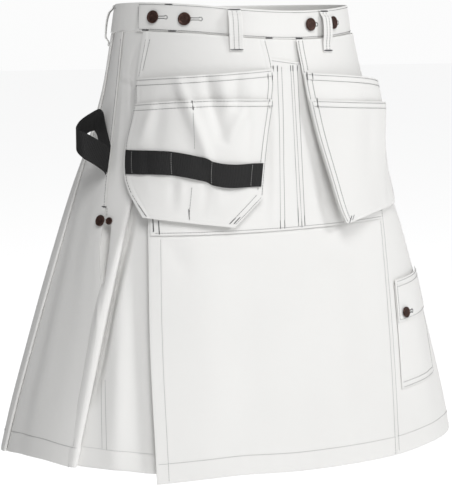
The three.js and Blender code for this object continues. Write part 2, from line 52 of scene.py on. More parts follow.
towards_camera = Vector((
    math.sin(CAMERA_AZIMUTH) * math.cos(CAMERA_ELEVATION),
    -math.cos(CAMERA_AZIMUTH) * math.cos(CAMERA_ELEVATION),
    math.sin(CAMERA_ELEVATION),
))
camera_data = bpy.data.cameras.new("camera")
camera_data.sensor_width = SENSOR
camera_data.lens = CAMERA_FOCAL_PIXELS / PICTURE_HEIGHT * SENSOR
camera = bpy.data.objects.new("camera", camera_data)
camera.location = CAMERA_AIM + CAMERA_DISTANCE * towards_camera
camera.rotation_euler = towards_camera.to_track_quat("Z", "Y").to_euler()
bpy.context.scene.collection.objects.link(camera)
bpy.context.scene.camera = camera


# Waistband: one strip of doubled canvas, stitched along both edges. It starts under the front at the
# wearer's right, goes round behind, and its free end laps over its start and is buttoned down.
CLOTH = 1.4
SEAM = 0.3
LIE = 0.35
LAYER = CLOTH + LIE
BAND_HEIGHT = 35
BAND_CLOTH = 3.2
UNDER_BAND = -3.8
BAND_SEAM = 0.6
BAND_LINE = 15.2
WAIST_Z = -13
HEM_Z = -542


def mix(a, b, t):
    """a at t 0, b at t 1, and in proportion between them."""
    return a + (b - a) * t


def ease(t):
    """0 below 0 and 1 above 1, with level ends between: three squares less two cubes."""
    x = np.clip(t, 0, 1)
    return x * x * (3 - 2 * x)


def bell(x):
    """1 at 0, falling away smoothly on both sides: e to the power of minus x squared."""
    return np.exp(-(x**2))


def curve(rows):
    """A smooth function through (x, y) rows: a cubic between two rows, whose slope at each row is the
    mean of the slopes on its two sides. It keeps its end values outside the rows."""
    x, y = np.array(sorted(rows), float).T
    slope = np.diff(y) / np.diff(x)
    tangent = (np.r_[slope[0], slope] + np.r_[slope, slope[-1]]) / 2

    def at(value):
        inside = np.clip(value, x[0], x[-1])
        i = np.clip(np.searchsorted(x, inside) - 1, 0, len(x) - 2)
        span = x[i + 1] - x[i]
        t = (inside - x[i]) / span
        rise = 3 * t**2 - 2 * t**3
        bend = tangent[i] * t * (1 - t) ** 2 - tangent[i + 1] * t**2 * (1 - t)
        return y[i] * (1 - rise) + y[i + 1] * rise + span * bend

    return at


def fall(z):
    """How far down the kilt a height lies, from 0 at the waistband's bottom to 1 at the hem."""
    return np.clip((WAIST_Z - z) / (WAIST_Z - HEM_Z), 0, 1)


def tapering(top, bottom):
    """A function of height that runs evenly from one value at the waistband to another at the hem."""
    return lambda z: mix(top, bottom, fall(z))


# The worn form: an oval at each height. Its point at angle t from the front is r (sin t, -cos t), with
# r = (|sin t / half width|^k + |cos t / half depth|^k)^(-1/k). Rings of it lie every RING_STEP of height.
FORM = [
    (30, 153, 126, 2.02), (8, 156.5, 127, 2.05), (-31, 162, 129.5, 2.1), (-82, 171, 133.5, 2.2),
    (-142, 190, 138, 2.35), (-212, 216, 143, 2.5), (-312, 247, 150, 2.62), (-412, 276, 158, 2.72),
    (-492, 299, 164, 2.78), (-570, 318, 170, 2.8),
]
RING_STEP = 5
RING_COUNT = 240
ring_levels = np.arange(-580, 41, RING_STEP, dtype=float)
half_width = curve([(z, a) for z, a, b, k in FORM])(ring_levels)[:, None]
half_depth = curve([(z, b) for z, a, b, k in FORM])(ring_levels)[:, None]
squareness = curve([(z, k) for z, a, b, k in FORM])(ring_levels)[:, None]
turn = np.linspace(0, math.pi, RING_COUNT + 1)[None, :]
reach = (np.abs(np.sin(turn) / half_width) ** squareness
         + np.abs(np.cos(turn) / half_depth) ** squareness) ** (-1 / squareness)
oval_x = reach * np.abs(np.sin(turn))
oval_y = -reach * np.cos(turn)
oval_steps = np.hypot(np.diff(oval_x, axis=1), np.diff(oval_y, axis=1))
oval_arc = np.concatenate([np.zeros((len(ring_levels), 1)), np.cumsum(oval_steps, axis=1)], axis=1)
ring_half = oval_arc[:, -1]
facing_x = oval_x ** (squareness - 1) / half_width**squareness
facing_y = np.sign(oval_y) * np.abs(oval_y) ** (squareness - 1) / half_depth**squareness
facing = np.hypot(facing_x, facing_y)
ring_table = np.stack([oval_x, oval_y, facing_x / facing, facing_y / facing], axis=-1)
even = np.linspace(0, 1, RING_COUNT + 1)
ring_table = np.array([
    [np.interp(even * arc[-1], arc, column) for column in table.T]
    for arc, table in zip(oval_arc, ring_table)
]).transpose(0, 2, 1)


def on_form(s, z, n):
    """Metres from the kilt's own address: s is the way round from centre front, + to the wearer's left,
    z the height, and n the distance out from the worn form, along its normal."""
    s, z, n = (np.asarray(v, float) for v in np.broadcast_arrays(s, z, n))
    row = np.clip(np.floor((z - ring_levels[0]) / RING_STEP).astype(int), 0, len(ring_levels) - 2)
    up = (z - ring_levels[row]) / RING_STEP
    x, y = 0, 0
    for level, weight in ((row, 1 - up), (row + 1, up)):
        half = ring_half[level]
        turned = s - 2 * half * np.round(s / (2 * half))
        share = np.abs(turned) / half * RING_COUNT
        i = np.minimum(share.astype(int), RING_COUNT - 1)
        entry = mix(ring_table[level, i], ring_table[level, i + 1], (share - i)[..., None])
        x = x + weight * np.where(turned < 0, -1, 1) * (entry[..., 0] + n * entry[..., 2])
        y = y + weight * (entry[..., 1] + n * entry[..., 3])
    return np.stack([x, y, z], axis=-1) / 1000


def half_round(z):
    """The way round from centre front to centre back at a height."""
    return np.interp(z, ring_levels, ring_half)


def unit(vectors):
    """The same directions, one long."""
    return vectors / np.maximum(np.linalg.norm(vectors, axis=-1, keepdims=True), 1e-12)


SHARP = math.radians(55)
RIM = (0.42, 0.86)


def new_piece(name, points, faces, finish, uv=None):
    """A mesh object at the origin, smooth but for its sharp edges. uv holds its cloth coordinates."""
    mesh = bpy.data.meshes.new(name)
    mesh.from_pydata(points.reshape(-1, 3).tolist(), [], faces)
    mesh.polygons.foreach_set("use_smooth", np.ones(len(mesh.polygons), bool))
    mesh.set_sharp_from_angle(angle=SHARP)
    if uv is not None:
        corner = np.zeros(len(mesh.loops), int)
        mesh.loops.foreach_get("vertex_index", corner)
        mesh.uv_layers.new(name="grain").data.foreach_set("uv", uv.reshape(-1, 2)[corner].ravel())
    mesh.materials.append(finish.data)
    piece = bpy.data.objects.new(name, mesh)
    bpy.context.scene.collection.objects.link(piece)
    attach(piece, "root")
    return piece


def edge_profile(count):
    """1 along a row of points, and less at its two ends, where a folded edge turns in."""
    profile = np.ones(count)
    profile[[0, -1]] = RIM[0]
    profile[[1, -2]] = RIM[1]
    return profile


def walked(grid, axis):
    """Metres walked over a grid along one axis, from its first row or column to each point."""
    steps = np.linalg.norm(np.diff(grid, axis=axis), axis=-1)
    return np.insert(np.cumsum(steps, axis=axis), 0, 0, axis=axis)


def shell(name, grid, outside, inside, finish):
    """A closed cloth from a grid of points on its middle, columns across and rows down: one face lies
    outside along the grid's normals and the other inside, joined round the rim, which is rounded."""
    columns, rows = grid.shape[:2]
    across = np.gradient(grid, axis=0)
    down = np.gradient(grid, axis=1)
    normal = unit(np.cross(down, across))
    soft = np.minimum.outer(edge_profile(columns), edge_profile(rows))
    points = np.concatenate([
        grid + normal * (soft * outside / 1000)[..., None],
        grid - normal * (soft * inside / 1000)[..., None],
    ])
    index = np.arange(columns * rows).reshape(columns, rows)
    a, b, c, d = index[:-1, :-1], index[1:, :-1], index[1:, 1:], index[:-1, 1:]
    back = columns * rows
    rim = [
        (a[:, 0], b[:, 0], b[:, 0] + back, a[:, 0] + back),
        (d[:, -1], d[:, -1] + back, c[:, -1] + back, c[:, -1]),
        (a[0], a[0] + back, d[0] + back, d[0]),
        (b[-1], c[-1], c[-1] + back, b[-1] + back),
    ]
    faces = [(a, d, c, b), (a + back, b + back, c + back, d + back), *rim]
    faces = np.concatenate([np.stack([corner.ravel() for corner in face], axis=-1) for face in faces])
    uv = np.stack([walked(grid, 0), walked(grid, 1)], axis=-1)
    return new_piece(name, points, faces.tolist(), finish, np.concatenate([uv, uv]))


def spread(length, coarse, first, last, fine=1.1):
    """Shares from 0 to 1 along a length: fine steps within first of its start and last of its end, and
    coarse ones between."""
    middle = np.linspace(first, length - last, max(2, round((length - first - last) / coarse) + 1))
    start = np.linspace(0, first, round(first / fine) + 1)[:-1]
    end = length - np.linspace(last, 0, round(last / fine) + 1)[1:]
    return np.r_[start, middle, end] / length


def sheet(name, node, grid, outside, inside, finish):
    """A shell that stands for one solid, whose imported solid it hides."""
    piece = shell(name, grid, outside, inside, finish)
    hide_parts(node)


class Wire:
    """A shader socket with arithmetic: each operation adds a Math node to the socket's tree."""

    def __init__(self, tree, socket):
        self.tree = tree
        self.socket = socket

    def math(self, operation, *others):
        node = self.tree.nodes.new("ShaderNodeMath")
        node.operation = operation
        for slot, value in zip(node.inputs, (self, *others)):
            if isinstance(value, Wire):
                self.tree.links.new(value.socket, slot)
            else:
                slot.default_value = value
        return Wire(self.tree, node.outputs[0])

    def __add__(self, other):
        return self.math("ADD", other)

    def __sub__(self, other):
        return self.math("SUBTRACT", other)

    def __mul__(self, other):
        return self.math("MULTIPLY", other)


class Finish:
    """The nodes of a material or of the world. add() makes any node from its type, its settings, and the
    values or links of its sockets, and gives the wire of one output."""

    def __init__(self, data):
        self.data = data
        data.use_nodes = True
        self.tree = data.node_tree
        self.tree.nodes.clear()

    def add(self, kind, settings, values, output=0):
        node = self.tree.nodes.new("ShaderNode" + kind)
        for key, value in settings.items():
            setattr(node, key, value)
        for key, value in values.items():
            if isinstance(value, Wire):
                self.tree.links.new(value.socket, node.inputs[key])
            else:
                node.inputs[key].default_value = value
        return Wire(self.tree, node.outputs[output]) if len(node.outputs) else None

    def place(self):
        return self.add("TexCoord", {}, {}, "Object")

    def wave(self, vector, axis, pitch):
        """A sine along one axis of a vector, one wave to each pitch."""
        along = self.add("SeparateXYZ", {}, {"Vector": vector}, axis)
        return (along * (2 * math.pi / pitch)).math("SINE")

    def noise(self, place, scale, detail=2):
        return self.add("TexNoise", {}, {"Vector": place, "Scale": scale, "Detail": detail})

    def colours(self, factor, first, second):
        return self.add("Mix", {"data_type": "RGBA"}, {0: factor, 6: (*first, 1), 7: (*second, 1)}, 2)

    def bump(self, height, distance, strength, under=None):
        values = {"Height": height, "Distance": distance, "Strength": strength}
        return self.add("Bump", {}, values if under is None else {**values, "Normal": under})

    def surface(self, values):
        shader = self.add("BsdfPrincipled", {}, values)
        self.add("OutputMaterial", {}, {"Surface": shader})


WEAVE_PITCH = 0.0011
canvas = Finish(bpy.data.materials.new("white_canvas"))
grain = canvas.add("UVMap", {"uv_map": "grain"}, {})
warp = canvas.wave(grain, "X", WEAVE_PITCH)
weft = canvas.wave(grain, "Y", WEAVE_PITCH)
slub = canvas.noise(canvas.add("Mapping", {}, {"Vector": grain, "Scale": (1, 0.1, 1)}), 700)
body = canvas.place()
rumple = canvas.noise(body, 26, 3)
weave = canvas.bump(warp * weft * 0.5 + slub * 0.5, 0.00012, 0.6)
canvas.surface({
    "Base Color": canvas.colours(canvas.noise(body, 9, 4), (0.83, 0.825, 0.81), (0.79, 0.785, 0.77)),
    "Roughness": slub * 0.1 + 0.82,
    "Sheen Weight": 0.15,
    "Sheen Roughness": 0.5,
    "Normal": canvas.bump(rumple, 0.0016, 0.5, weave),
})

thread = Finish(bpy.data.materials.new("dark_thread"))
thread_place = thread.place()
thread.surface({
    "Base Color": thread.colours(thread.noise(thread_place, 400), (0.05, 0.05, 0.055), (0.11, 0.11, 0.115)),
    "Roughness": 0.65,
    "Normal": thread.bump(thread.noise(thread_place, 2500), 0.0001, 0.6),
})

band_middle = curve([(-460, 0), (-300, 2), (-185, 4.5), (-120, 2), (-60, -3), (0, -5.5),
                     (60, -4), (130, 0.5), (190, 2), (460, 0)])
# The band's way round, in half rounds: from its free end on the front, round behind, to its hidden start.
BAND_END = -2.4446
BAND_START = -0.26
BAND_RISE_FROM = -0.43
BAND_RISE = 0.17
BAND_DENT = 0.35
BAND_PUCKER = 0.22


def band_bottom(s):
    """The height of the seam under the waistband."""
    return band_middle(s) - BAND_HEIGHT / 2 - BAND_SEAM


def ripple(along, seed):
    """An uneven small wave along a seam: three sines of unlike lengths, from -1 to 1."""
    sines = ((2.3, 1), (3.9, 2.1), (7.1, 3.7))
    return sum(np.sin(along / length + shift * seed) for length, shift in sines) / 3


band_way = np.linspace(BAND_END, BAND_START, 440)[:, None]
band_rows = spread(BAND_HEIGHT, 2.6, 4, 4)[None, :]
band_share = np.where(band_way < -1, band_way + 2, band_way)
band_drop = BAND_HEIGHT * (0.5 - band_rows)
band_z = band_middle(band_share * half_round(band_drop)) + band_drop
band_s = band_share * half_round(band_z)
band_n = mix(UNDER_BAND, 0, ease((BAND_RISE_FROM - band_way) / BAND_RISE))
band_dent = BAND_DENT * bell((np.abs(band_drop) - BAND_LINE) / 2)
band_wave = BAND_PUCKER * ripple(band_s, 1) * bell((np.abs(band_drop) - BAND_LINE) / 4)
band_grid = on_form(band_s, band_z, band_n)
sheet("waistband_cloth", "waistband", band_grid, BAND_CLOTH / 2 - band_dent + band_wave, BAND_CLOTH / 2,
      canvas)

STITCH_PITCH = 3.4
STITCH_SHARE = 0.8
THREAD_RADIUS = 0.3
FINE_THREAD = THREAD_RADIUS * 0.75
STITCH_SAMPLES = 5
STITCH_SIDES = 4
STITCH_LIFT = np.array([-0.1, 0.24, 0.3, 0.24, -0.1])
STITCH_TAPER = np.array([0.5, 1, 1, 1, 0.5])


def run(line, pitch=STITCH_PITCH, share=STITCH_SHARE):
    """Lockstitches along a line of (s, z) points: one every pitch, each a share of it long."""
    line = np.array(line, float)
    along = np.r_[0, np.cumsum(np.hypot(*np.diff(line, axis=0).T))]
    first = np.arange(pitch / 4, along[-1] - pitch * share, pitch)
    at = first[:, None] + pitch * share * np.linspace(0, 1, STITCH_SAMPLES)
    return np.stack([np.interp(at, along, line[:, 0]), np.interp(at, along, line[:, 1])], axis=-1)


def heading(degrees):
    """The direction at an angle from level, as (s, z)."""
    return np.array([math.cos(math.radians(degrees)), math.sin(math.radians(degrees))])


def tack(s, z, length, degrees, width):
    """A bar tack: satin stitches side by side across a bar of that length, turned from level."""
    way = heading(degrees)
    side = np.array([-way[1], way[0]])
    middles = np.array([s, z]) + np.arange(-length / 2, length / 2 + 0.1, 0.6)[:, None] * way
    return middles[:, None, :] + width / 2 * np.linspace(-1, 1, STITCH_SAMPLES)[:, None] * side


EYE_RADIUS = 1.2
EYE_GAP = 1.6


def buttonhole(s, z, length):
    """Satin stitches pointing outward all round a level slit, and round its eye at the +s end."""
    feet = [(s + x, z + side * 0.35, 0, side) for x in np.arange(0, length, 0.75) for side in (-1, 1)]
    feet += [(s, z, *heading(degrees)) for degrees in np.linspace(90, 270, 7)]
    for degrees in np.linspace(-140, 140, 15):
        x, y = heading(degrees)
        feet.append((s + length + EYE_GAP + EYE_RADIUS * x, z + EYE_RADIUS * y, x, y))
    feet = np.array(feet)
    reach_out = np.linspace(0.1, 1.9, STITCH_SAMPLES)[:, None]
    return feet[:, None, :2] + reach_out * feet[:, None, 2:]


def sew(name, rows, level, finish=thread, radius=THREAD_RADIUS):
    """Threads lying on a cloth: each stitch is a short round bar over five points, a little higher in
    the middle, with its ends sunk in the cloth. level(s, z) is the middle of the cloth beneath."""
    path = np.concatenate(rows)
    s, z = path[..., 0], path[..., 1]
    n = level(s, z) + CLOTH / 2 + STITCH_LIFT
    centre = on_form(s, z, n)
    outward = unit(on_form(s, z, n + 1) - centre)
    side = unit(np.cross(np.gradient(centre, axis=1), outward))
    angle = (np.arange(STITCH_SIDES) + 0.5) * 2 * math.pi / STITCH_SIDES
    thick = (radius / 1000 * STITCH_TAPER)[:, None, None]
    ring = np.cos(angle)[:, None] * side[:, :, None, :] + np.sin(angle)[:, None] * outward[:, :, None, :]
    points = centre[:, :, None, :] + thick * ring
    index = np.arange(len(path) * STITCH_SAMPLES * STITCH_SIDES).reshape(-1, STITCH_SAMPLES, STITCH_SIDES)
    near, after = index[:, :-1], index[:, 1:]
    turned = [near, after, np.roll(after, -1, axis=2), np.roll(near, -1, axis=2)]
    faces = np.concatenate([
        np.stack([corner.ravel() for corner in turned], axis=-1),
        index[:, 0, :],
        index[:, -1, ::-1],
    ])
    return new_piece(name, points, faces.tolist(), finish)


def band_level(s, z):
    """The waistband's outer cloth: its face stands where a single cloth's would at half its thickness."""
    return (BAND_CLOTH - CLOTH) / 2 - 0.25


def band_run(offset, start, end):
    """Stitches along the waistband at a height from its middle."""
    s = np.linspace(start, end, 500)
    return run(np.stack([s, band_middle(s) + offset], axis=-1))


BAND_SEEN_TO = -268
band_free_s = (BAND_END + 2) * half_round(0)
band_round = 2 * half_round(0) + BAND_SEEN_TO
free_end_line = [(band_free_s + 2.6, band_middle(band_free_s) + z) for z in (-BAND_LINE, BAND_LINE)]
sew("waistband_stitching", [
    band_run(BAND_LINE, band_free_s + 3, band_round),
    band_run(-BAND_LINE, band_free_s + 3, band_round),
    run(free_end_line),
    *[tack(s, band_middle(s) + up, length, 0, width) for s, up, length, width in (
        (-187, -16.2, 9, 1.6), (-150, -16.2, 9, 1.6), (-153, 16, 9, 1.6), (-29, -16.6, 9, 1.8),
        (15, -16.6, 10, 1.8),
    )],
    *[buttonhole(s, z, length) for s, z, length in (
        (-171, 4, 12), (-129.5, 2, 14), (37, -5, 6), (82, -3, 8),
    )],
], band_level)


# Apron: the flat front panel, from its free edge at the wearer's right to the seam at the left. The free
# edge is faced and stitched, and the hem is turned up and stitched through.
APRON_SEAM = 150
HEM_DEPTH = 24
HEM_FOLD = 1.0
HEM_PUCKER = 0.35
FACING_DEPTH = 15
apron_edge = curve([(20, -185), (-250, -196), (-400, -204), (-560, -206)])
apron_hem = curve([(-210, -554.5), (-100, -553), (0, -558), (150, -557), (230, -551), (372, -544),
                   (500, -541), (820, -541)])


def crease(s, z, start, end, width, height):
    """A soft ridge, or a trough where its height is negative, from start to end: height times a bell
    across the line times a half sine along it."""
    way = np.subtract(end, start).astype(float)
    length = math.hypot(*way)
    along = ((s - start[0]) * way[0] + (z - start[1]) * way[1]) / length**2
    across = ((s - start[0]) * way[1] - (z - start[1]) * way[0]) / length
    return height * bell(across / width) * np.sin(math.pi * np.clip(along, 0, 1)) ** 0.7


def creases(s, z, rows):
    """The sum of several creases."""
    return sum(crease(s, z, *row) for row in rows)


FRONT_FOLDS = [
    ((74, -300), (70, -540), 26, -3.0),
    ((112, -250), (118, -520), 30, 2.0),
    ((-22, -330), (-30, -556), 30, 1.6),
    ((-70, -280), (-88, -556), 26, -2.0),
    ((-128, -260), (-140, -556), 24, 1.6),
    ((-176, -258), (-150, -310), 12, -1.6),
    ((20, -262), (90, -300), 22, 1.3),
    ((198, -118), (214, -268), 34, -3.4),
    ((228, -350), (268, -548), 22, -2.4),
    ((250, -200), (322, -548), 26, 3.0),
    ((300, -420), (330, -548), 12, -1.6),
]


def front_level(s, z):
    """The middle of the front's cloth: broad soft folds, and small puckers along the hem."""
    hem = bell((z - apron_hem(s) - HEM_DEPTH) / 14)
    return creases(s, z, FRONT_FOLDS) + HEM_PUCKER * hem * ripple(s / 1.6, 2)


def hang(stations, rows, top, bottom):
    """s, z and n down a hanging cloth, by column and row. Each station gives s and n at a height; the
    heights run by the shares in rows from the top edge to the bottom one."""
    columns = []
    for station in stations:
        z = mix(WAIST_Z, HEM_Z, rows)
        for _ in range(4):
            z = mix(top(station(z)[0]), bottom(station(z)[0]), rows)
        s, n = station(z)
        columns.append(np.stack(np.broadcast_arrays(s, z, n)))
    return np.stack(columns, axis=1)


def between(start, end, at, level=lambda z, t: 0):
    """Stations at shares from one line to another. level takes the height and the share."""
    return [lambda z, t=t: (mix(start(z), end(z), t), level(z, t)) for t in at]


def turned_up(s, z, hem):
    """How much thicker the cloth is inside the hem, from the stitched line down."""
    return HEM_FOLD * ease((hem(s) + HEM_DEPTH - z) / 2)


def cloth(name, node, s, z, n, inside=0.0):
    """A single canvas of the kilt. inside is how much thicker it is within."""
    sheet(name, node, on_form(s, z, n), CLOTH / 2, CLOTH / 2 + inside, canvas)


APRON_LENGTH = 525
APRON_WIDTH = 345
SEAM_SWELL = 0.25
SEAM_PUCKER = 0.16
SEAM_DENT = 0.3


def edge_relief(inset, along, lines=(2.2, 8.6), seed=0):
    """The cloth near a stitched edge: it sinks a little at each line, swells between and puckers."""
    sunk = sum(bell((inset - line) / 1.1) for line in lines)
    middle = sum(lines) / len(lines)
    puckers = ripple(along, 1.3 + seed) * bell((inset - middle) / 5)
    swell = bell((inset - middle) / 3.5)
    return SEAM_SWELL * swell + SEAM_PUCKER * puckers - SEAM_DENT * sunk


def apron_level(s, z):
    """The apron's cloth, with its stitched free edge, seam and hem."""
    edge = edge_relief(s - apron_edge(z), z, (FACING_DEPTH,)) * ease((-255 - z) / 8)
    seam = edge_relief(APRON_SEAM - s, z, (3.2,), 1)
    hem = edge_relief(z - apron_hem(s), s, (HEM_DEPTH,), 2)
    return front_level(s, z) + edge + seam + hem


def apron_seam(z):
    """The seam at the wearer's left of the apron."""
    return APRON_SEAM + 0 * z


s, z, n = hang(between(apron_edge, apron_seam, spread(APRON_WIDTH, 3, 18, 6, 1.5)),
               spread(APRON_LENGTH, 3.6, 4, 30, 1.6), band_bottom, apron_hem)
cloth("apron_cloth", "apron_front", s, z, n + apron_level(s, z), turned_up(s, z, apron_hem))


def down_run(line, top, bottom, offset):
    """Stitches beside a line that is given by s at each height."""
    z = np.linspace(top, bottom, 200)
    return run(np.stack(np.broadcast_arrays(line(z) + offset, z), axis=-1))


def hem_run(hem, start, end):
    """Stitches along the top of a hem's fold."""
    s = np.linspace(start, end, 300)
    return run(np.stack([s, hem(s) + HEM_DEPTH], axis=-1))


sew("apron_stitching", [
    down_run(apron_edge, -262, -553, FACING_DEPTH),
    down_run(apron_edge, -20, -44, 2.2),
    hem_run(apron_hem, -203, APRON_SEAM - 1),
    down_run(apron_seam, -256, -556, -3.2),
], apron_level, radius=FINE_THREAD)


# Pocket panel: one canvas sewn flat on the apron and stitched down the middle into two pockets. Its
# lines are double, and its corners and the ends of its lines are bar tacked.
POCKET_LEVEL = LAYER + 0.4
POCKET_INSET = 3
POCKET_DEPTH = 205
pocket_top = curve([(-190, -46), (-28, -46), (8, -51), (150, -51)])
pocket_bottom = curve([(-190, -258), (0, -257), (150, -253)])
POCKET_FOLDS = [
    ((-25, -90), (-36, -252), 6.5, 3.6),
    ((-12, -70), (-14, -170), 7, 1.2),
    ((24, -150), (30, -250), 9, 1.6),
    ((60, -190), (66, -252), 12, 1.5),
    ((104, -200), (112, -250), 12, 1.8),
]
# The s of each stitched line down the middle, at its top and its bottom.
POCKET_LINES = [(-20, -25), (-14, -18.5), (-1, 2), (2.5, 7)]


def pocket_level(s, z):
    """The pocket panel lies on the apron, bags a little between its seams and sinks at each of them."""
    low = np.clip((-56 - z) / 200, 0, 1)
    seams = sum(bell((s - mix(top, bottom, low)) / 1.6) for top, bottom in POCKET_LINES)
    ends = edge_relief(z - pocket_bottom(s), s, (3,), 3) + edge_relief(pocket_top(s) - z, s, (3,), 4)
    return POCKET_LEVEL + front_level(s, z) + creases(s, z, POCKET_FOLDS) - SEAM_DENT * seams + ends


pocket_stations = between(lambda z: apron_edge(z) + POCKET_INSET, lambda z: APRON_SEAM - POCKET_INSET,
                          spread(APRON_WIDTH, 3, 9, 6))
s, z, n = hang(pocket_stations, spread(POCKET_DEPTH, 3, 6, 6), pocket_top, pocket_bottom)
cloth("pocket_panel_cloth", "pocket_panel", s, z, pocket_level(s, z))


def straight_run(*corners):
    """Stitches through (s, z) corners, on points close enough to follow the form."""
    at = np.linspace(0, len(corners) - 1, 60 * len(corners))
    return run(np.stack([np.interp(at, np.arange(len(corners)), row) for row in zip(*corners)], axis=-1))


sew("pocket_panel_stitching", [
    straight_run((-188, -255), (-92, -254.5), (0, -254), (146, -250.5)),
    *[straight_run((top, -56), (bottom, -255)) for top, bottom in POCKET_LINES],
    straight_run((9, -62), (11.5, -255)),
    straight_run((-189, -230), (-190, -256)),
    straight_run((-28, -49), (8, -53.6), (30, -53.8)),
    *[tack(s, -58.5, 7, 90, 1.6) for s in (-30, -26, -20, -1, 2.5, 9)],
    *[tack(s, z, length, 90, 1.4) for s, z, length in ((-189, -243, 20), (-182.5, -248, 16))],
    *[tack(s, z, length, 90, 1.2) for s, z, length in (
        (-25, -250, 10), (-18.5, -250, 10), (2, -240, 18), (7, -251, 8), (11.5, -247, 12),
    )],
], pocket_level)


# Side panel of the wearer's right: it starts behind the apron, makes one deep pleat whose rolled edge
# faces forward, and ends under the back panel, seamed to it above the slit and free below.
SLIT_LAP = 12
SLIT_TOP = -228
CONCEALED_EDGE = -128
PLEAT_TURN = np.linspace(-math.pi / 2, math.pi / 2, 7)
PLEAT_SHARES = np.linspace(0, 1, 10)[1:-1]
SIDE_PUFF_WIDTH = 11
side_level = tapering(-2.6, -3.2)
side_gap = tapering(2.2, 4.2)
side_depth = tapering(16, 44)
SIDE_LENGTH = 515
side_seam = curve([(20, -226), (-72, -241), (-183, -250), (-225, -253), (-324, -259), (-390, -269),
                   (-550, -314)])
side_pleat = curve([(-13, -158), (-225, -218), (-542, -308)])
side_hem = curve([(-820, -541), (-500, -541), (-400, -532), (-350, -530), (-308, -534), (-250, -538),
                  (-206, -544), (-120, -546)])
side_puff = curve([(-120, 0), (-210, 1.5), (-300, 6), (-350, 8), (-440, 6), (-542, 2.5)])


def pleat(edge, depth, level, gap, way, puff):
    """Stations of a knife pleat met from under its folded edge: behind the edge for the pleat's depth,
    round, forward to the edge, and round again over itself. way is the direction of travel in s. puff
    lifts the top turn, so the edge is rolled and not pressed flat."""

    def back(z):
        return edge(z) + way * depth(z)

    def back_turn(angle):
        return lambda z: (back(z) + way * gap(z) / 2 * np.cos(angle),
                          level(z) - gap(z) * 1.5 + gap(z) / 2 * np.sin(angle))

    def edge_turn(angle):
        return lambda z: (edge(z) - way * (gap(z) + puff(z)) / 2 * np.cos(angle),
                          level(z) - gap(z) / 2 + puff(z) / 2 + (gap(z) + puff(z)) / 2 * np.sin(angle))

    return [
        *between(edge, back, PLEAT_SHARES, lambda z, t: level(z) - 2 * gap(z)),
        *[back_turn(angle) for angle in PLEAT_TURN],
        *between(back, edge, PLEAT_SHARES, lambda z, t: level(z) - gap(z)),
        *[edge_turn(angle) for angle in PLEAT_TURN],
    ]


def side_edge(z):
    """Where the pleat's roll turns, so that its front reaches the pleat's line."""
    return side_pleat(z) - (side_gap(z) + side_puff(z)) / 2


def side_under(z, t=0):
    """The layer behind the pleat."""
    return side_level(z) - 2 * side_gap(z)


SIDE_FOLDS = [
    ((-238, -300), (-296, -520), 9, -3.2),
    ((-252, -330), (-300, -545), 7, 1.8),
    ((-206, -30), (-219, -60), 2.6, -0.9),
    ((-219, -56), (-217, -120), 2.6, -0.9),
    ((-262, -330), (-266, -372), 2.6, 1.4),
    ((-232, -60), (-240, -200), 5, 0.8),
    ((-244, -68), (-200, -79), 3.5, 1.6),
    ((-244, -73), (-200, -84), 3.5, -1.4),
]


def rolled(z, away):
    """The top layer's n at a distance behind the pleat's turn, where it still swells with the roll."""
    return side_level(z) + side_puff(z) * bell(away / SIDE_PUFF_WIDTH)


def side_top(z, t):
    """The side panel's n over its share from the rolled edge to the back edge."""
    return rolled(z, t * (side_edge(z) - side_seam(z) + SLIT_LAP))


def side_outer_level(s, z):
    """The top layer's n by s and height, for what is sewn on it."""
    return rolled(z, np.maximum(side_edge(z) - s, 0)) + creases(s, z, SIDE_FOLDS)


UNDER_FOLDS = [
    ((-232, -275), (-258, -560), 15, 8.0),
    ((-214, -250), (-214, -560), 8, -1.5),
]
CREVICE_DEPTH = 11
SLIT_DIP = 18


def crevice(s, z):
    """How far the layer behind sinks along the pleat's edge, most at mid height."""
    down = np.clip((-225 - z) / 240, 0, 1)
    return CREVICE_DEPTH * (1 - ease((s - side_pleat(z) - 1) / 12)) * np.sin(math.pi * down) ** 0.7


def slit_dip(s, z):
    """Where the slit gapes all the layers behind it sink, most at its upper third."""
    down = np.clip((SLIT_TOP - 16 - z) / 76, 0, 1)
    beside = np.exp(-(((s - side_seam(z) + 0.8) / mix(7, 4, down)) ** 4))
    return SLIT_DIP * beside * np.sin(math.pi * down**0.7) ** 0.6


def under_level(s, z):
    """The layer behind the side pleat: it swells in the opening between the pleat and the apron, and
    falls away to both sides beneath them."""
    open_width = ease((s - side_pleat(z) + 2) / 8) * ease((apron_edge(z) - s + 10) / 14)
    return side_under(z) + creases(s, z, UNDER_FOLDS) * open_width - crevice(s, z)


HIDDEN_STATIONS = 60
ROLL_STATIONS = 4
TOP_STATIONS = 34
side_stations = [
    *between(lambda z: CONCEALED_EDGE, side_edge, np.linspace(0, 1, HIDDEN_STATIONS), side_under),
    *pleat(side_edge, side_depth, side_level, side_gap, -1, side_puff),
    *between(side_edge, lambda z: side_seam(z) - SLIT_LAP, np.linspace(0.03, 1, TOP_STATIONS), side_top),
]
s, z, n = hang(side_stations, spread(SIDE_LENGTH, 3.6, 4, 30, 1.8), band_bottom, side_hem)
station = np.arange(len(s))[:, None]
n = n + np.where(station >= len(s) - TOP_STATIONS - ROLL_STATIONS, creases(s, z, SIDE_FOLDS), 0)
n = np.where(station < HIDDEN_STATIONS, under_level(s, z), n) - slit_dip(s, z)
cloth("side_panel_right_cloth", "side_panel_right", s, z, n, turned_up(s, z, side_hem))
sew("side_panel_stitching", [hem_run(side_hem, -330, -300)], side_outer_level, radius=FINE_THREAD)
sew("side_pleat_stitching", [
    hem_run(side_hem, -298, -204),
    straight_run((-263, -430), (-266, -538)),
    straight_run((-269, -430), (-272, -538)),
], under_level, radius=FINE_THREAD)


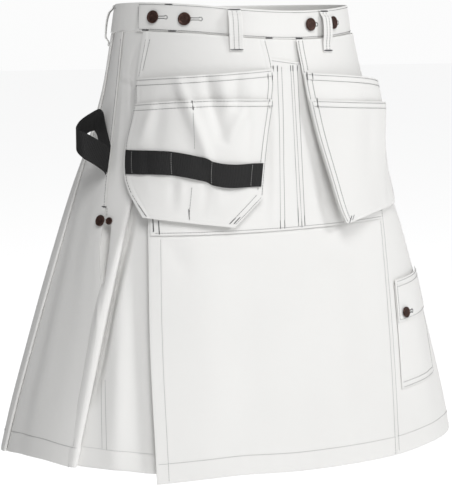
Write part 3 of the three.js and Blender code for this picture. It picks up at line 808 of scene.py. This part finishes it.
# Side panel of the wearer's left: one flat canvas from the apron's seam to the back's. Both seams are
# topstitched, and its turned hem runs on from the apron's.
LEFT_WIDTH = 180
left_seam = curve([(20, 240), (-200, 282), (-560, 372)])
left_stations = between(lambda z: APRON_SEAM + SEAM, lambda z: left_seam(z) - SEAM / 2,
                        spread(LEFT_WIDTH, 3, 6, 6))
s, z, n = hang(left_stations, spread(APRON_LENGTH, 3.6, 4, 30, 1.6), band_bottom, apron_hem)


def left_level(s, z):
    """The left side's cloth, with its two seams and its hem."""
    seams = edge_relief(s - APRON_SEAM, z, (3.4,), 1) + edge_relief(left_seam(z) - s, z, (3,), 3)
    return front_level(s, z) + seams + edge_relief(z - apron_hem(s), s, (HEM_DEPTH,), 2)


cloth("side_panel_left_cloth", "side_panel_left", s, z, left_level(s, z), turned_up(s, z, apron_hem))
sew("left_side_stitching", [
    down_run(apron_seam, -24, -552, 3.4),
    down_run(left_seam, -22, -542, -3),
    hem_run(apron_hem, APRON_SEAM + 1, 366),
], left_level, radius=FINE_THREAD)


# Back panels: two halves that meet at centre back. Each is laid in three knife pleats that face forward,
# shallow at the waist and deeper at the hem, and the right half's front edge covers the side seam.
BACK_MEETING = 0.02
BACK_ROLL = 0.3
RUN_HIDDEN = 0.05
SLIT_DRAW = 6.5
back_gap = tapering(1.6, 2)
back_level = tapering(0, 0.4)
# Each pleat's edge and its depth.
BACK_PLEATS = [
    (tapering(274, 460), tapering(18, 52)),
    (tapering(332, 592), tapering(18, 56)),
    (tapering(390, 716), tapering(18, 56)),
]
BACK_FOLDS = [
    ((310, -20), (346, -470), 64, -6.0),
    ((300, -120), (392, -541), 24, 4.0),
    ((322, -180), (420, -541), 17, -3.5),
    ((292, -60), (318, -200), 12, -1.6),
    ((262, -200), (300, -330), 16, 1.8),
    ((392, -150), (530, -541), 22, 3.4),
    ((372, -60), (410, -200), 14, -1.8),
    ((470, -330), (560, -541), 17, -3.0),
    ((450, -120), (640, -541), 26, 3.6),
    ((420, -50), (470, -180), 12, 1.4),
    ((600, -350), (680, -541), 18, -3.2),
    ((520, -170), (770, -541), 22, 3.0),
    ((470, -90), (560, -300), 20, -2.0),
]


def back_puff(z):
    """The pleats' edges are pressed at the waist and roll a little lower down."""
    return BACK_ROLL * ease((-90 - z) / 250)


def centre_back(z):
    return half_round(z) - BACK_MEETING


def run_start(edge, depth):
    """Where the cloth comes out from under a pleat's edge into the next run."""
    return lambda z: edge(z) + RUN_HIDDEN * depth(z)


def run_level(z):
    """The level at which a run leaves the pleat before it."""
    return back_level(z) + back_puff(z) * 0.9


def run_sink(level, z, share):
    """A run's n over its share: it sinks from its level to beneath the next pleat."""
    return mix(level, back_level(z) - 2 * back_gap(z), ease((share - 0.2) / 0.75))


def back_stations(start):
    """A half's stations from its front seam, over three pleats, to centre back."""
    stations = []
    begin, begin_level = start, lambda z: 0
    for edge, depth in BACK_PLEATS:
        stations += between(begin, edge, np.linspace(0, 1, 24),
                            lambda z, t, level=begin_level: run_sink(level(z), z, t))
        stations += pleat(edge, depth, back_level, back_gap, 1, back_puff)
        begin, begin_level = run_start(edge, depth), run_level
    stations += between(begin, centre_back, np.linspace(0.05, 1, 22), lambda z, t: mix(run_level(z), 0, t))
    return stations


def back_folds(far, z, start):
    """The back's creases, fading at the half's two edges and under the waistband."""
    soft = ease((far - start + 2) / 24) * ease((centre_back(z) - far) / 20) * ease(fall(z) * 3)
    return creases(far, z, BACK_FOLDS) * soft


def back_cloth(name, node, start, way, hem):
    """One half of the back. way is +1 on the wearer's left and -1 on the right."""
    s, z, n = hang(back_stations(start), spread(SIDE_LENGTH, 4, 4, 28, 2),
                   lambda s: band_bottom(way * s), lambda s: hem(way * s))
    n = n + back_folds(s, z, start(z))
    n = n + edge_relief(z - hem(way * s), s, (HEM_DEPTH,), 2) + edge_relief(s - start(z), z, (3,), 4)
    inside = turned_up(way * s, z, hem)
    if way < 0:
        s, z, n, inside = -s[::-1], z[::-1], n[::-1], inside[::-1]
    cloth(name, node, s, z, n, inside)


def right_start(z):
    """The right half's front edge: it draws back a little where the slit gapes."""
    return -side_seam(z) + SLIT_DRAW * bell((z + 280) / 36)


back_cloth("back_panel_right_cloth", "back_panel_right", right_start, -1, side_hem)
back_cloth("back_panel_left_cloth", "back_panel_left", lambda z: left_seam(z) + SEAM / 2, 1, apron_hem)


def back_outer_level(s, z):
    """The back's visible cloth by s and height: each run sinks from one pleat's edge to the next one's."""
    far = np.abs(s)
    start = np.where(s < 0, -side_seam(z), left_seam(z))
    begin, begin_level, level = start, 0, 0
    for edge, depth in BACK_PLEATS:
        sunk = run_sink(begin_level, z, (far - begin) / (edge(z) - begin))
        level = np.where(far > begin, sunk, level)
        begin, begin_level = run_start(edge, depth)(z), run_level(z)
    last = mix(begin_level, 0, (far - begin) / (centre_back(z) - begin))
    return np.where(far > begin, last, level) + back_folds(far, z, start)


def back_hem_runs(way, first, hem):
    """The stitched line of one half's hem, in runs that stop at each pleat's edge."""
    ends = [first, *[edge(HEM_Z) for edge, depth in BACK_PLEATS], centre_back(-517)]
    return [hem_run(hem, way * (begin + 5), way * (end - 7)) for begin, end in zip(ends, ends[1:])]


sew("back_stitching", [
    down_run(side_seam, -22, -226, -2.2),
    down_run(side_seam, -330, -536, -4),
    down_run(left_seam, -22, -542, 3.2),
    down_run(centre_back, -22, -538, -3),
    down_run(lambda z: -centre_back(z), -22, -538, 3),
    straight_run((-258, SLIT_TOP + 1), (-250, SLIT_TOP + 1), (-250, SLIT_TOP - 9)),
    tack(-255, SLIT_TOP + 2, 8, 0, 1.6),
    *back_hem_runs(-1, 295, side_hem),
    *back_hem_runs(1, 372, apron_hem),
], back_outer_level, radius=FINE_THREAD)


# Holster pockets: each is a canvas backing that hangs from the waistband, an inner pouch and an outer
# pouch on it. Sides and cut corners are double stitched, and so are the turned mouths.
BACKING_LEVEL = POCKET_LEVEL + LAYER
POUCH_EASE = 0.3
MOUTH_LINES = (2.2, 8.6)
MOUTH_FOLD = HEM_FOLD * 0.4
HOLSTER_WIDTH = 172
POUCH_DEPTH = 170
RIGHT_POUCH_FOLDS = [
    ((-145, -58), (-117, -178), 6.5, 6.5),
    ((-152, -70), (-134, -160), 9, -3.4),
    ((-112, -56), (-102, -150), 7, -6.0),
    ((-96, -60), (-90, -112), 7, 2.6),
    ((-170, -98), (-195, -154), 6, 4.2),
    ((-158, -82), (-178, -160), 7, -2.6),
    ((-72, -102), (-98, -146), 6, 4.2),
    ((-74, -58), (-84, -112), 6, -3.6),
    ((-58, -70), (-66, -120), 7, 2.2),
    ((-66, -106), (-72, -172), 6, -4.4),
    ((-158, -182), (-169, -240), 5, -5.6),
    ((-150, -184), (-157, -238), 4.5, 3.4),
    ((-123, -190), (-132, -244), 5, -4.6),
    ((-113, -188), (-108, -244), 7, 3.4),
    ((-92, -192), (-96, -238), 7, -2.2),
    ((-196, -170), (-186, -226), 8, 2.4),
]
LEFT_POUCH_FOLDS = [
    ((70, -90), (84, -240), 12, 2.4),
    ((108, -80), (118, -236), 14, -3.2),
    ((146, -84), (160, -232), 11, 2.0),
    ((182, -110), (196, -226), 9, -1.6),
    ((96, -200), (150, -236), 8, 1.2),
]


class Holster:
    """One holster's shape. across runs from its outer edge, 0, to its inner one, 1. belly is a sine
    across it times a quarter sine up from its bottom. Numbers: how far the backing stands off, the
    height where that ends, how far its inner edge swings out, how far each pouch bellies, and how far
    the belly leans to the outer side and to the mouth."""

    def __init__(self, outer_edge, inner_edge, bottom, mouths, numbers, folds):
        self.outer_edge, self.inner_edge = curve(outer_edge), curve(inner_edge)
        self.corners = np.array(bottom, float).T
        self.mouths = [curve(mouth) for mouth in mouths]
        self.stand, self.stand_end, self.swing, self.inner, self.outer, self.peak, self.fill = numbers
        self.folds = folds

    def bottom(self, across):
        return np.interp(across, *self.corners)

    def s_at(self, z, across):
        return mix(self.outer_edge(z), self.inner_edge(z), across)

    def across_at(self, s, z):
        outer = self.outer_edge(z)
        return (s - outer) / (self.inner_edge(z) - outer)

    def insets(self, s, z):
        """Millimetres in from the outer edge, from the inner one and from the bottom."""
        across = np.clip(self.across_at(s, z), 0, 1)
        return np.abs(s - self.outer_edge(z)), np.abs(s - self.inner_edge(z)), z - self.bottom(across)

    def belly(self, s, z):
        across = np.clip(self.across_at(s, z), 0, 1)
        bottom = self.bottom(across)
        filled = np.clip((z - bottom) / (self.mouths[0](across) - bottom), 0, 1) ** self.fill
        return np.sin(math.pi * across**self.peak) ** 0.8 * np.sin(math.pi / 2 * filled) ** 1.3

    def backing(self, s, z):
        free = self.swing * ease((self.across_at(s, z) - 0.3) / 0.7) * ease((-50 - z) / 180)
        stand = self.stand * ease((WAIST_Z - z) / 90) * (1 - ease((-90 - z) / self.stand_end))
        off_panel = (POCKET_LEVEL - 0.3) * ease((s - 150) / 16)
        return BACKING_LEVEL - off_panel + stand + free + front_level(s, z)

    def inner_pouch(self, s, z):
        belly = self.belly(s, z)
        rumpled = np.minimum(belly * 1.6, 1) * creases(s, z, self.folds)
        return self.backing(s, z) + LAYER + self.inner * belly + rumpled

    def outer_pouch(self, s, z):
        return self.inner_pouch(s, z) + LAYER + POUCH_EASE + self.outer * self.belly(s, z)

    def sides(self, s, z):
        """The stitched side edges' relief."""
        outer, inner, low = self.insets(s, z)
        return edge_relief(outer, z, seed=5) + edge_relief(inner, z, seed=6) + edge_relief(low, s, (3,), 7)

    def mouth(self, s, z, which):
        """The stitched mouth's relief."""
        return edge_relief(self.mouths[which](self.across_at(s, z)) - z, s, MOUTH_LINES, 8 + which)

    def grid(self, top, level, top_band=10):
        """s, z and n of one cloth from its top edge, by share across and by s, down to the bottom."""
        across = spread(HOLSTER_WIDTH, 2.9, 11, 11)[:, None]
        down = spread(POUCH_DEPTH, 2.9, top_band, 7)[None, :]
        z = mix(top(across, self.s_at(-20, across)), self.bottom(across), down)
        for _ in range(2):
            z = mix(top(across, self.s_at(z, across)), self.bottom(across), down)
        s = self.s_at(z, across)
        grid = s, z, level(s, z)
        return grid if s[0, 0] < s[-1, 0] else [values[::-1] for values in grid]


def turned_mouth(z, across, mouth):
    """How much thicker the cloth is inside a mouth, from its edge to the lower stitched line."""
    return MOUTH_FOLD * ease((z - mouth(across) + MOUTH_LINES[1] + 1) / 2)


def mouth_runs(holster, which):
    """The two stitched lines under a mouth."""
    across = np.linspace(0.01, 0.99, 120)
    edge = holster.mouths[which](across)
    return [run(np.stack([holster.s_at(edge - drop, across), edge - drop], axis=-1)) for drop in MOUTH_LINES]


def side_run(holster, inset, top, bottom, inner=True):
    """Stitches that keep a distance inside one side edge."""
    z = np.linspace(top, bottom, 160)
    edge = (holster.inner_edge if inner else holster.outer_edge)(z)
    other = (holster.outer_edge if inner else holster.inner_edge)(z)
    return run(np.stack([edge + inset * np.sign(other - edge), z], axis=-1))


right_holster = Holster(
    [(-13, -188), (-74, -200), (-105, -202), (-150, -215), (-190, -218), (-208, -213), (-236, -200)],
    [(-13, -37), (-61, -28), (-98, -32), (-142, -41), (-215, -53), (-247, -56)],
    [(0, -236), (0.75, -250), (1, -215)],
    [[(0, -71), (0.5, -65), (1, -59)], [(0, -101), (0.5, -94.5), (1, -95.5)]],
    (1.5, 600, 2, 12, 6.5, 1, 1),
    RIGHT_POUCH_FOLDS,
)
left_holster = Holster(
    [(-13, 188), (-74, 200), (-105, 202), (-150, 211), (-190, 212), (-208, 206), (-236, 194)],
    [(-13, 8), (-28, 9), (-58, 13), (-98, 17), (-142, 27), (-190, 39), (-236, 53), (-254, 62)],
    [(0, -236), (0.6, -244), (1, -252)],
    [[(0, -83), (0.5, -71), (1, -64)], [(0, -107), (0.5, -102), (1, -97)]],
    (4.5, 60, 15, 18, 3, 0.72, 1.35),
    LEFT_POUCH_FOLDS,
)
HOLSTERS = (("right", right_holster), ("left", left_holster))
for side, holster in HOLSTERS:
    s, z, n = holster.grid(lambda across, s: band_bottom(s), holster.backing, 4)
    cloth(f"holster_backing_{side}_cloth", f"holster_backing_{side}", s, z, n + holster.sides(s, z))
    for which, layer, under, level in (
        (0, "inner", "backing", holster.inner_pouch),
        (1, "outer", "inner", holster.outer_pouch),
    ):
        mouth = holster.mouths[which]
        s, z, n = holster.grid(lambda across, s: mouth(across), level)
        cloth(f"holster_{layer}_{side}_cloth", f"holster_{layer}_pouch_{side}", s, z,
              n + holster.sides(s, z) + holster.mouth(s, z, which),
              turned_mouth(z, holster.across_at(s, z), mouth))
sew("holster_backing_right_stitching", [
    side_run(right_holster, 2.2, -24, -60),
    straight_run((-178, -22), (-190, -62)),
    straight_run((-184, -22), (-196, -70)),
], right_holster.backing)
sew("holster_backing_left_stitching", [
    side_run(left_holster, 2.2, -24, -250),
    side_run(left_holster, 8.4, -24, -62),
], left_holster.backing)
for side, holster in HOLSTERS:
    sew(f"holster_inner_{side}_stitching", [
        *mouth_runs(holster, 0),
        side_run(holster, 2.2, -66, -97),
        side_run(holster, 8.4, -72, -97),
        side_run(holster, 3, -78, -104, inner=False),
        *[tack(holster.s_at(-68, at), -68, size, 90, 1.4) for at, size in ((0.982, 9), (0.946, 7))],
    ], holster.inner_pouch)
sew("holster_outer_right_stitching", [
    *mouth_runs(right_holster, 1),
    side_run(right_holster, 2.2, -98, -212),
    side_run(right_holster, 8.4, -98, -208),
    side_run(right_holster, 3, -104, -208, inner=False),
    *[straight_run(start, end) for start, end in (
        ((-209.5, -209), (-196, -234)), ((-55.5, -214), (-92, -246.5)), ((-61.5, -211), (-97, -243)),
        ((-129.6, -109), (-133.5, -154)), ((-141, -199), (-147, -236)),
    )],
    *[tack(*row) for row in (
        (-38.5, -101, 11, 90, 1.4), (-34, -101, 7, 90, 0.9), (-129, -101, 11, 90, 1.7),
        (-199, -228, 15, -60, 1.4), (-89, -241, 11, 42, 1.4), (-95, -241.5, 10, 42, 1.2),
        (-146.6, -232, 12, 90, 1.1),
    )],
], right_holster.outer_pouch)
sew("holster_outer_left_stitching", [
    *mouth_runs(left_holster, 1),
    side_run(left_holster, 2.2, -99, -250),
    side_run(left_holster, 8.4, -99, -249),
    side_run(left_holster, 3, -110, -232, inner=False),
    tack(25.5, -101, 11, 90, 1.4),
    tack(67, -247, 9, 60, 1.6),
    tack(72, -245, 7, 60, 1.2),
], left_holster.outer_pouch)


# Tool webbing: a black ribbed strap across the right outer pouch, held by pale cross stitches. It
# stands off between them, so that tools go through, and steps down past the middle.
WEBBING_WIDTH = 28.5
WEBBING_CLOTH = 1.8
WEBBING_BOW = 9
WEBBING_HELD = [0.02, 0.075, 0.187, 0.336, 0.57, 0.88, 0.97]
WEBBING_CROSSED = (0.075, 0.336, 0.587, 0.88)
CROSS_HALF = 13.4
CROSS_THREAD = 0.4
webbing_route = curve([(0.02, -170.5), (0.34, -171), (0.5, -176.5), (0.56, -179.5), (0.595, -183),
                       (0.97, -187)])
RIB_PITCH = 0.0021
PICK_PITCH = 0.0016
webbing = Finish(bpy.data.materials.new("black_webbing"))
strap = webbing.add("UVMap", {"uv_map": "grain"}, {})
rib = webbing.wave(strap, "X", RIB_PITCH)
pick = webbing.wave(strap, "Y", PICK_PITCH)
fuzz = webbing.noise(strap, 900)
webbing.surface({
    "Base Color": webbing.colours(rib * 0.25 + fuzz * 0.5 + 0.1, (0.003, 0.003, 0.0032),
                                  (0.009, 0.0088, 0.0092)),
    "Roughness": fuzz * 0.2 + 0.6,
    "Normal": webbing.bump(rib * 0.6 + rib * pick * 0.4 + fuzz * 0.3, 0.0004, 0.8),
})


def webbing_bow(across):
    """How far the strap stands off between two held lines: a half sine, higher on a wider span."""
    held = np.array(WEBBING_HELD)
    i = np.clip(np.searchsorted(held, across) - 1, 0, len(held) - 2)
    span = held[i + 1] - held[i]
    return WEBBING_BOW * span * np.sin(math.pi * np.clip((across - held[i]) / span, 0, 1))


def webbing_level(s, z):
    """The strap's middle over the pouch."""
    off = (CLOTH + WEBBING_CLOTH) / 2 + SEAM + 0.2
    return right_holster.outer_pouch(s, z) + off + webbing_bow(right_holster.across_at(s, z))


def strap_piece(node, grid):
    """A strap of webbing."""
    sheet(node + "_strap", node, grid, WEBBING_CLOTH / 2, WEBBING_CLOTH / 2, webbing)


across = np.linspace(0.02, 0.97, 180)[:, None]
webbing_rows = spread(WEBBING_WIDTH, 2.6, 2, 2, 0.7)[None, :]
z = webbing_route(across) + WEBBING_WIDTH * (0.5 - webbing_rows)
s = right_holster.s_at(z, across)
strap_piece("tool_webbing", on_form(s, z, webbing_level(s, z)))

pale_thread = Finish(bpy.data.materials.new("pale_thread"))
pale_mottle = pale_thread.noise(pale_thread.place(), 500)
pale_thread.surface({
    "Base Color": pale_thread.colours(pale_mottle, (0.2, 0.2, 0.2), (0.32, 0.32, 0.31)),
    "Roughness": 0.6,
})
cross_lines = []
for across in WEBBING_CROSSED:
    z = webbing_route(across) + np.linspace(CROSS_HALF, -CROSS_HALF, 40)
    cross_lines.append(run(np.stack([right_holster.s_at(z, across), z], axis=-1), 2.6, 0.84))
sew("tool_webbing_stitching", cross_lines, lambda s, z: webbing_level(s, z) + 0.1, pale_thread,
    CROSS_THREAD)


# Hammer loop: a webbing strap whose two ends are caught in the side seam, one over the other. It lies
# on the hip up to its highest place, turns there, and comes back round in front, standing off.
# Each row gives s, z and n at its upper and at its lower edge.
HAMMER_PATH = np.array([
    [[-246.5, -154, 1.9], [-250.5, -186, 1.9]],
    [[-254, -139, 2.4], [-260, -169, 2.6]],
    [[-262, -124, 3.2], [-269, -154, 3.6]],
    [[-269, -112, 4.5], [-276, -141, 5]],
    [[-272, -110, 8], [-279, -137, 7]],
    [[-272, -114, 17], [-279, -137, 9]],
    [[-271, -120, 28], [-278, -139, 16]],
    [[-266, -126, 38], [-272, -147, 29]],
    [[-258, -132, 44.5], [-261, -159, 40.5]],
    [[-252, -135, 42], [-253, -166, 39.5]],
    [[-249, -140, 32], [-250, -172, 29.5]],
    [[-246, -147, 19.5], [-249, -179, 17]],
    [[-245.5, -153, 9], [-249, -185, 7.5]],
    [[-245.5, -156, 4.4], [-250, -188, 4.4]],
])
hammer_gaps = np.linalg.norm(np.diff(HAMMER_PATH.mean(axis=1), axis=0), axis=-1)
hammer_knots = np.r_[0, np.cumsum(hammer_gaps)]
hammer_at = np.linspace(0, hammer_knots[-1], 110)
hammer_upper, hammer_lower = (
    [curve(list(zip(hammer_knots, values)))(hammer_at)[:, None] for values in HAMMER_PATH[:, edge].T]
    for edge in (0, 1)
)
hammer_place = [mix(upper, lower, webbing_rows) for upper, lower in zip(hammer_upper, hammer_lower)]
strap_piece("hammer_loop", on_form(*hammer_place))


# Leg pocket: a flat patch pocket on the wearer's left side panel. A flap sewn on above it covers its
# mouth, and one button holds the flap down.
LEG_FRONT = 164
LEG_WIDTH = 92
LEG_BACK = LEG_FRONT + LEG_WIDTH
LEG_TOP = -340
LEG_BOTTOM = -474
LEG_RISE = 8
LEG_BELLY = 3
FLAP_TOP = -334
FLAP_BOTTOM = -388


def leg_level(s, z):
    """The pocket's n: on the side panel, with a belly of one sine across and part of one down."""
    across = np.clip((s - LEG_FRONT) / LEG_WIDTH, 0, 1)
    down = np.clip((LEG_TOP + LEG_RISE * across - z) / (LEG_TOP - LEG_BOTTOM), 0, 1)
    belly = LEG_BELLY * np.sin(math.pi * across) ** 0.8 * np.sin(math.pi * mix(0.18, 1, down))
    return front_level(s, z) + LAYER + belly


def flap_level(s, z):
    return leg_level(s, z) + LAYER


for name, node, top, bottom, level in (
    ("leg_pocket_cloth", "leg_pocket", LEG_TOP, LEG_BOTTOM, leg_level),
    ("leg_pocket_flap_cloth", "leg_pocket_flap", FLAP_TOP, FLAP_BOTTOM, flap_level),
):
    across = spread(LEG_WIDTH, 2.9, 10, 10)[:, None]
    z = mix(top, bottom, spread(top - bottom, 2.9, 10, 10)[None, :]) + LEG_RISE * across
    s = LEG_FRONT + LEG_WIDTH * across + 0 * z
    far = z - LEG_RISE * across
    relief = edge_relief(s - LEG_FRONT, z, (2.4,)) + edge_relief(LEG_BACK - s, z, (2.4,), 1)
    relief = relief + edge_relief(far - bottom, s, seed=2) + edge_relief(top - far, s, seed=3)
    cloth(name, node, s, z, level(s, z) + relief)


def leg_run(height):
    """Stitches across the pocket, from a height at its front end."""
    s = LEG_FRONT + np.linspace(2, LEG_WIDTH - 2, 60)
    return run(np.stack([s, height + LEG_RISE * (s - LEG_FRONT) / LEG_WIDTH], axis=-1))


sew("leg_pocket_stitching", [
    leg_run(LEG_BOTTOM + 2.2),
    leg_run(LEG_BOTTOM + 8.6),
    straight_run((LEG_BACK - 2.2, -382), (LEG_BACK - 2.2, LEG_BOTTOM + 10)),
], leg_level, radius=FINE_THREAD)
sew("leg_pocket_flap_stitching", [
    leg_run(FLAP_TOP - 2.2),
    leg_run(FLAP_TOP - 8.6),
    leg_run(FLAP_BOTTOM + 3),
    straight_run((LEG_FRONT + 2.6, FLAP_TOP - 3), (LEG_FRONT + 2.6, FLAP_BOTTOM + 3)),
    straight_run((LEG_BACK - 2.6, FLAP_TOP + 5), (LEG_BACK - 2.6, FLAP_BOTTOM + 11)),
    tack(LEG_BACK - 4, FLAP_TOP + 2, 8, 80, 1.6),
    buttonhole(182, -376, 10),
], flap_level, radius=FINE_THREAD)


# Belt loops: five doubled strips, each with two lengthwise lines of stitching. They are bar tacked at
# the waistband's top edge and under it, and stand off between for a belt.
LOOP_WIDTH = 16.5
LOOP_STAND = 8.5
BAND_FACE = BAND_CLOTH / 2 + CLOTH / 2 + SEAM
BELT_LOOPS = [
    ("front_right", lambda z: -73, right_holster.backing),
    ("front_left", lambda z: 58, left_holster.backing),
    ("side_right", lambda z: -296, lambda s, z: 0),
    ("side_left", lambda z: 296, lambda s, z: 0),
    ("back", half_round, lambda s, z: 0),
]
for name, line, under in BELT_LOOPS:
    middle = band_middle(line(0))
    feet = [under(line(middle + z), middle + z) + LAYER for z in (-24, -30, -35)]
    profile = curve([(17, BAND_FACE), (13, BAND_FACE + 0.6), (8, LOOP_STAND * 0.82), (0, LOOP_STAND),
                     (-9, LOOP_STAND), (-17, LOOP_STAND * 0.93), (-24, max(feet[0] + 0.4, LOOP_STAND * 0.8)),
                     (-30, feet[1] + 0.4), (-35, feet[2])])
    across = spread(LOOP_WIDTH, 1.2, 2, 2, 0.7)[:, None]
    drop = mix(17, -35, spread(52, 1.6, 3, 3)[None, :])
    cup = 0.5 * np.abs(2 * across - 1) ** 3
    s = line(middle + drop) + LOOP_WIDTH * (across - 0.5)
    sheet(f"belt_loop_{name}_cloth", f"belt_loop_{name}", on_form(s, middle + drop, profile(drop) + cup),
          CLOTH / 2, CLOTH / 2, canvas)
    sew(f"belt_loop_{name}_stitching", [
        *[down_run(line, middle + 15, middle - 33, inset) for inset in (-2.8, 2.8)],
        *[tack(line(middle + z), middle + z, 15, 0, 2) for z in (15.4, -33.2)],
    ], lambda s, z, profile=profile, middle=middle: profile(z - middle))


# Buttons: dark metal caps with a raised rim and a hollow centre, riveted through the cloth. Four close
# the waistband, two stand at the slit, and one holds the leg pocket's flap.
BUTTON_RADIUS = 8
SMALL_BUTTON_RADIUS = 7
STUD_RADIUS = 4.5
BUTTON_HEIGHT = 2.8
BUTTON_SIDES = 40
BUTTON_PROFILE = np.array([
    (0, 0), (0.8, 0), (0.94, 0.1), (1, 0.32), (1, 0.7), (0.97, 0.88), (0.9, 0.98), (0.84, 1), (0.78, 0.95),
    (0.72, 0.8), (0.66, 0.74), (0.4, 0.84), (0.3, 0.86), (0.24, 0.78), (0.12, 0.76), (0, 0.76),
])
metal = Finish(bpy.data.materials.new("dark_button_metal"))
metal_place = metal.place()
pitting = metal.noise(metal_place, 700, 4)
worn = metal.noise(metal_place, 260, 3)
metal.surface({
    "Base Color": metal.colours(worn * 1.4 - 0.3, (0.028, 0.014, 0.012), (0.13, 0.07, 0.055)),
    "Metallic": 0.75,
    "Roughness": pitting * 0.3 + 0.28,
    "Normal": metal.bump(pitting, 0.0004, 0.7),
})


def button(node, radius, s, z, n):
    """A lathe of the button's profile about the cloth's own normal at its place."""
    seat = on_form(s, z, n)
    down = on_form(s, z - 1, n) - on_form(s, z + 1, n)
    axis = unit(np.cross(down, on_form(s + 1, z, n) - on_form(s - 1, z, n)))
    right = unit(np.cross((0, 0, 1), axis))
    up = np.cross(axis, right)
    angle = np.linspace(0, 2 * math.pi, BUTTON_SIDES, endpoint=False)[None, :, None]
    out, high = (BUTTON_PROFILE * (radius, BUTTON_HEIGHT) / 1000).T[:, :, None, None]
    rings = seat + out[1:-1] * (np.cos(angle) * right + np.sin(angle) * up) + high[1:-1] * axis
    poles = seat + high[[0, -1], 0] * axis
    index = np.arange(rings.size // 3).reshape(-1, BUTTON_SIDES)
    after = np.roll(index, -1, axis=1)
    faces = np.stack([index[:-1], after[:-1], after[1:], index[1:]], axis=-1).reshape(-1, 4).tolist()
    faces += [[index.size, b, a] for a, b in zip(index[0].tolist(), after[0].tolist())]
    faces += [[index.size + 1, a, b] for a, b in zip(index[-1].tolist(), after[-1].tolist())]
    piece = new_piece(node + "_cap", np.concatenate([rings.reshape(-1, 3), poles]), faces, metal)
    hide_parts(node)


ON_BAND = BAND_CLOTH / 2 + SEAM
ON_CLOTH = CLOTH / 2 + SEAM
button("waist_button_right_outer", BUTTON_RADIUS, -174.5, 4.3, ON_BAND)
button("waist_button_right_inner", BUTTON_RADIUS, -133.5, 2, ON_BAND)
button("waist_button_left_inner", BUTTON_RADIUS, 33, -5, ON_BAND)
button("waist_button_left_outer", BUTTON_RADIUS, 78, -3, ON_BAND)
button("slit_button_back", SMALL_BUTTON_RADIUS, -260, -243, ON_CLOTH)
button("slit_button_front", STUD_RADIUS, -248, -243, side_level(-243) + ON_CLOTH)
button("leg_pocket_button", SMALL_BUTTON_RADIUS, 178, -376, flap_level(178, -376) + ON_CLOTH + LIE)


# Floor: plain and pale, at the level of a wearer's feet, so far below the hem that no shadow of the
# kilt shows. It shines a little for the camera, to be as white as the backdrop behind it.
FLOOR_Z = -1.02
FLOOR_SIZE = 30
floor_corners = [(x * FLOOR_SIZE, y * FLOOR_SIZE, FLOOR_Z) for x, y in ((-1, -1), (1, -1), (1, 1), (-1, 1))]
floor_mesh = bpy.data.meshes.new("floor")
floor_mesh.from_pydata(floor_corners, [], [(0, 1, 2, 3)])
floor = bpy.data.objects.new("floor", floor_mesh)
bpy.context.scene.collection.objects.link(floor)
pale = Finish(bpy.data.materials.new("pale_floor"))
seen = pale.add("LightPath", {}, {}, "Is Camera Ray")
pale.surface({
    "Base Color": pale.colours(pale.noise(pale.place(), 1.5), (0.93, 0.93, 0.93), (0.91, 0.91, 0.91)),
    "Roughness": 0.9,
    "Emission Color": pale.colours(seen, (0.3, 0.3, 0.3), (0.76, 0.76, 0.76)),
    "Emission Strength": 1.0,
})
floor_mesh.materials.append(pale.data)


# Studio light: a key light from the wearer's left front, a larger one high in front, an even
# surround, and a white backdrop behind the kilt.
def area_light(name, place, aim, size, power):
    """A square light that faces its aim."""
    data = bpy.data.lights.new(name, "AREA")
    data.size = size
    data.energy = power
    light = bpy.data.objects.new(name, data)
    light.location = place
    light.rotation_euler = (Vector(place) - Vector(aim)).to_track_quat("Z", "Y").to_euler()
    bpy.context.scene.collection.objects.link(light)


LIGHTS_AIM = (0, 0, -0.28)
area_light("key_light", (3.61, -4.3, 2.58), LIGHTS_AIM, 1.4, 128)
area_light("fill_light", (-1.3, -3.3, 3.2), LIGHTS_AIM, 2.4, 125)
surround = Finish(bpy.data.worlds.new("surround"))
ambient = surround.add("Background", {}, {"Color": (0.99, 0.995, 1, 1), "Strength": 0.19})
backdrop = surround.add("Background", {}, {"Color": (1, 1, 1, 1), "Strength": 0.97})
seen = surround.add("LightPath", {}, {}, "Is Camera Ray")
either = surround.add("MixShader", {}, {0: seen, 1: ambient, 2: backdrop})
surround.add("OutputWorld", {}, {"Surface": either})
bpy.context.scene.world = surround.data
bpy.context.scene.view_settings.view_transform = "Standard"
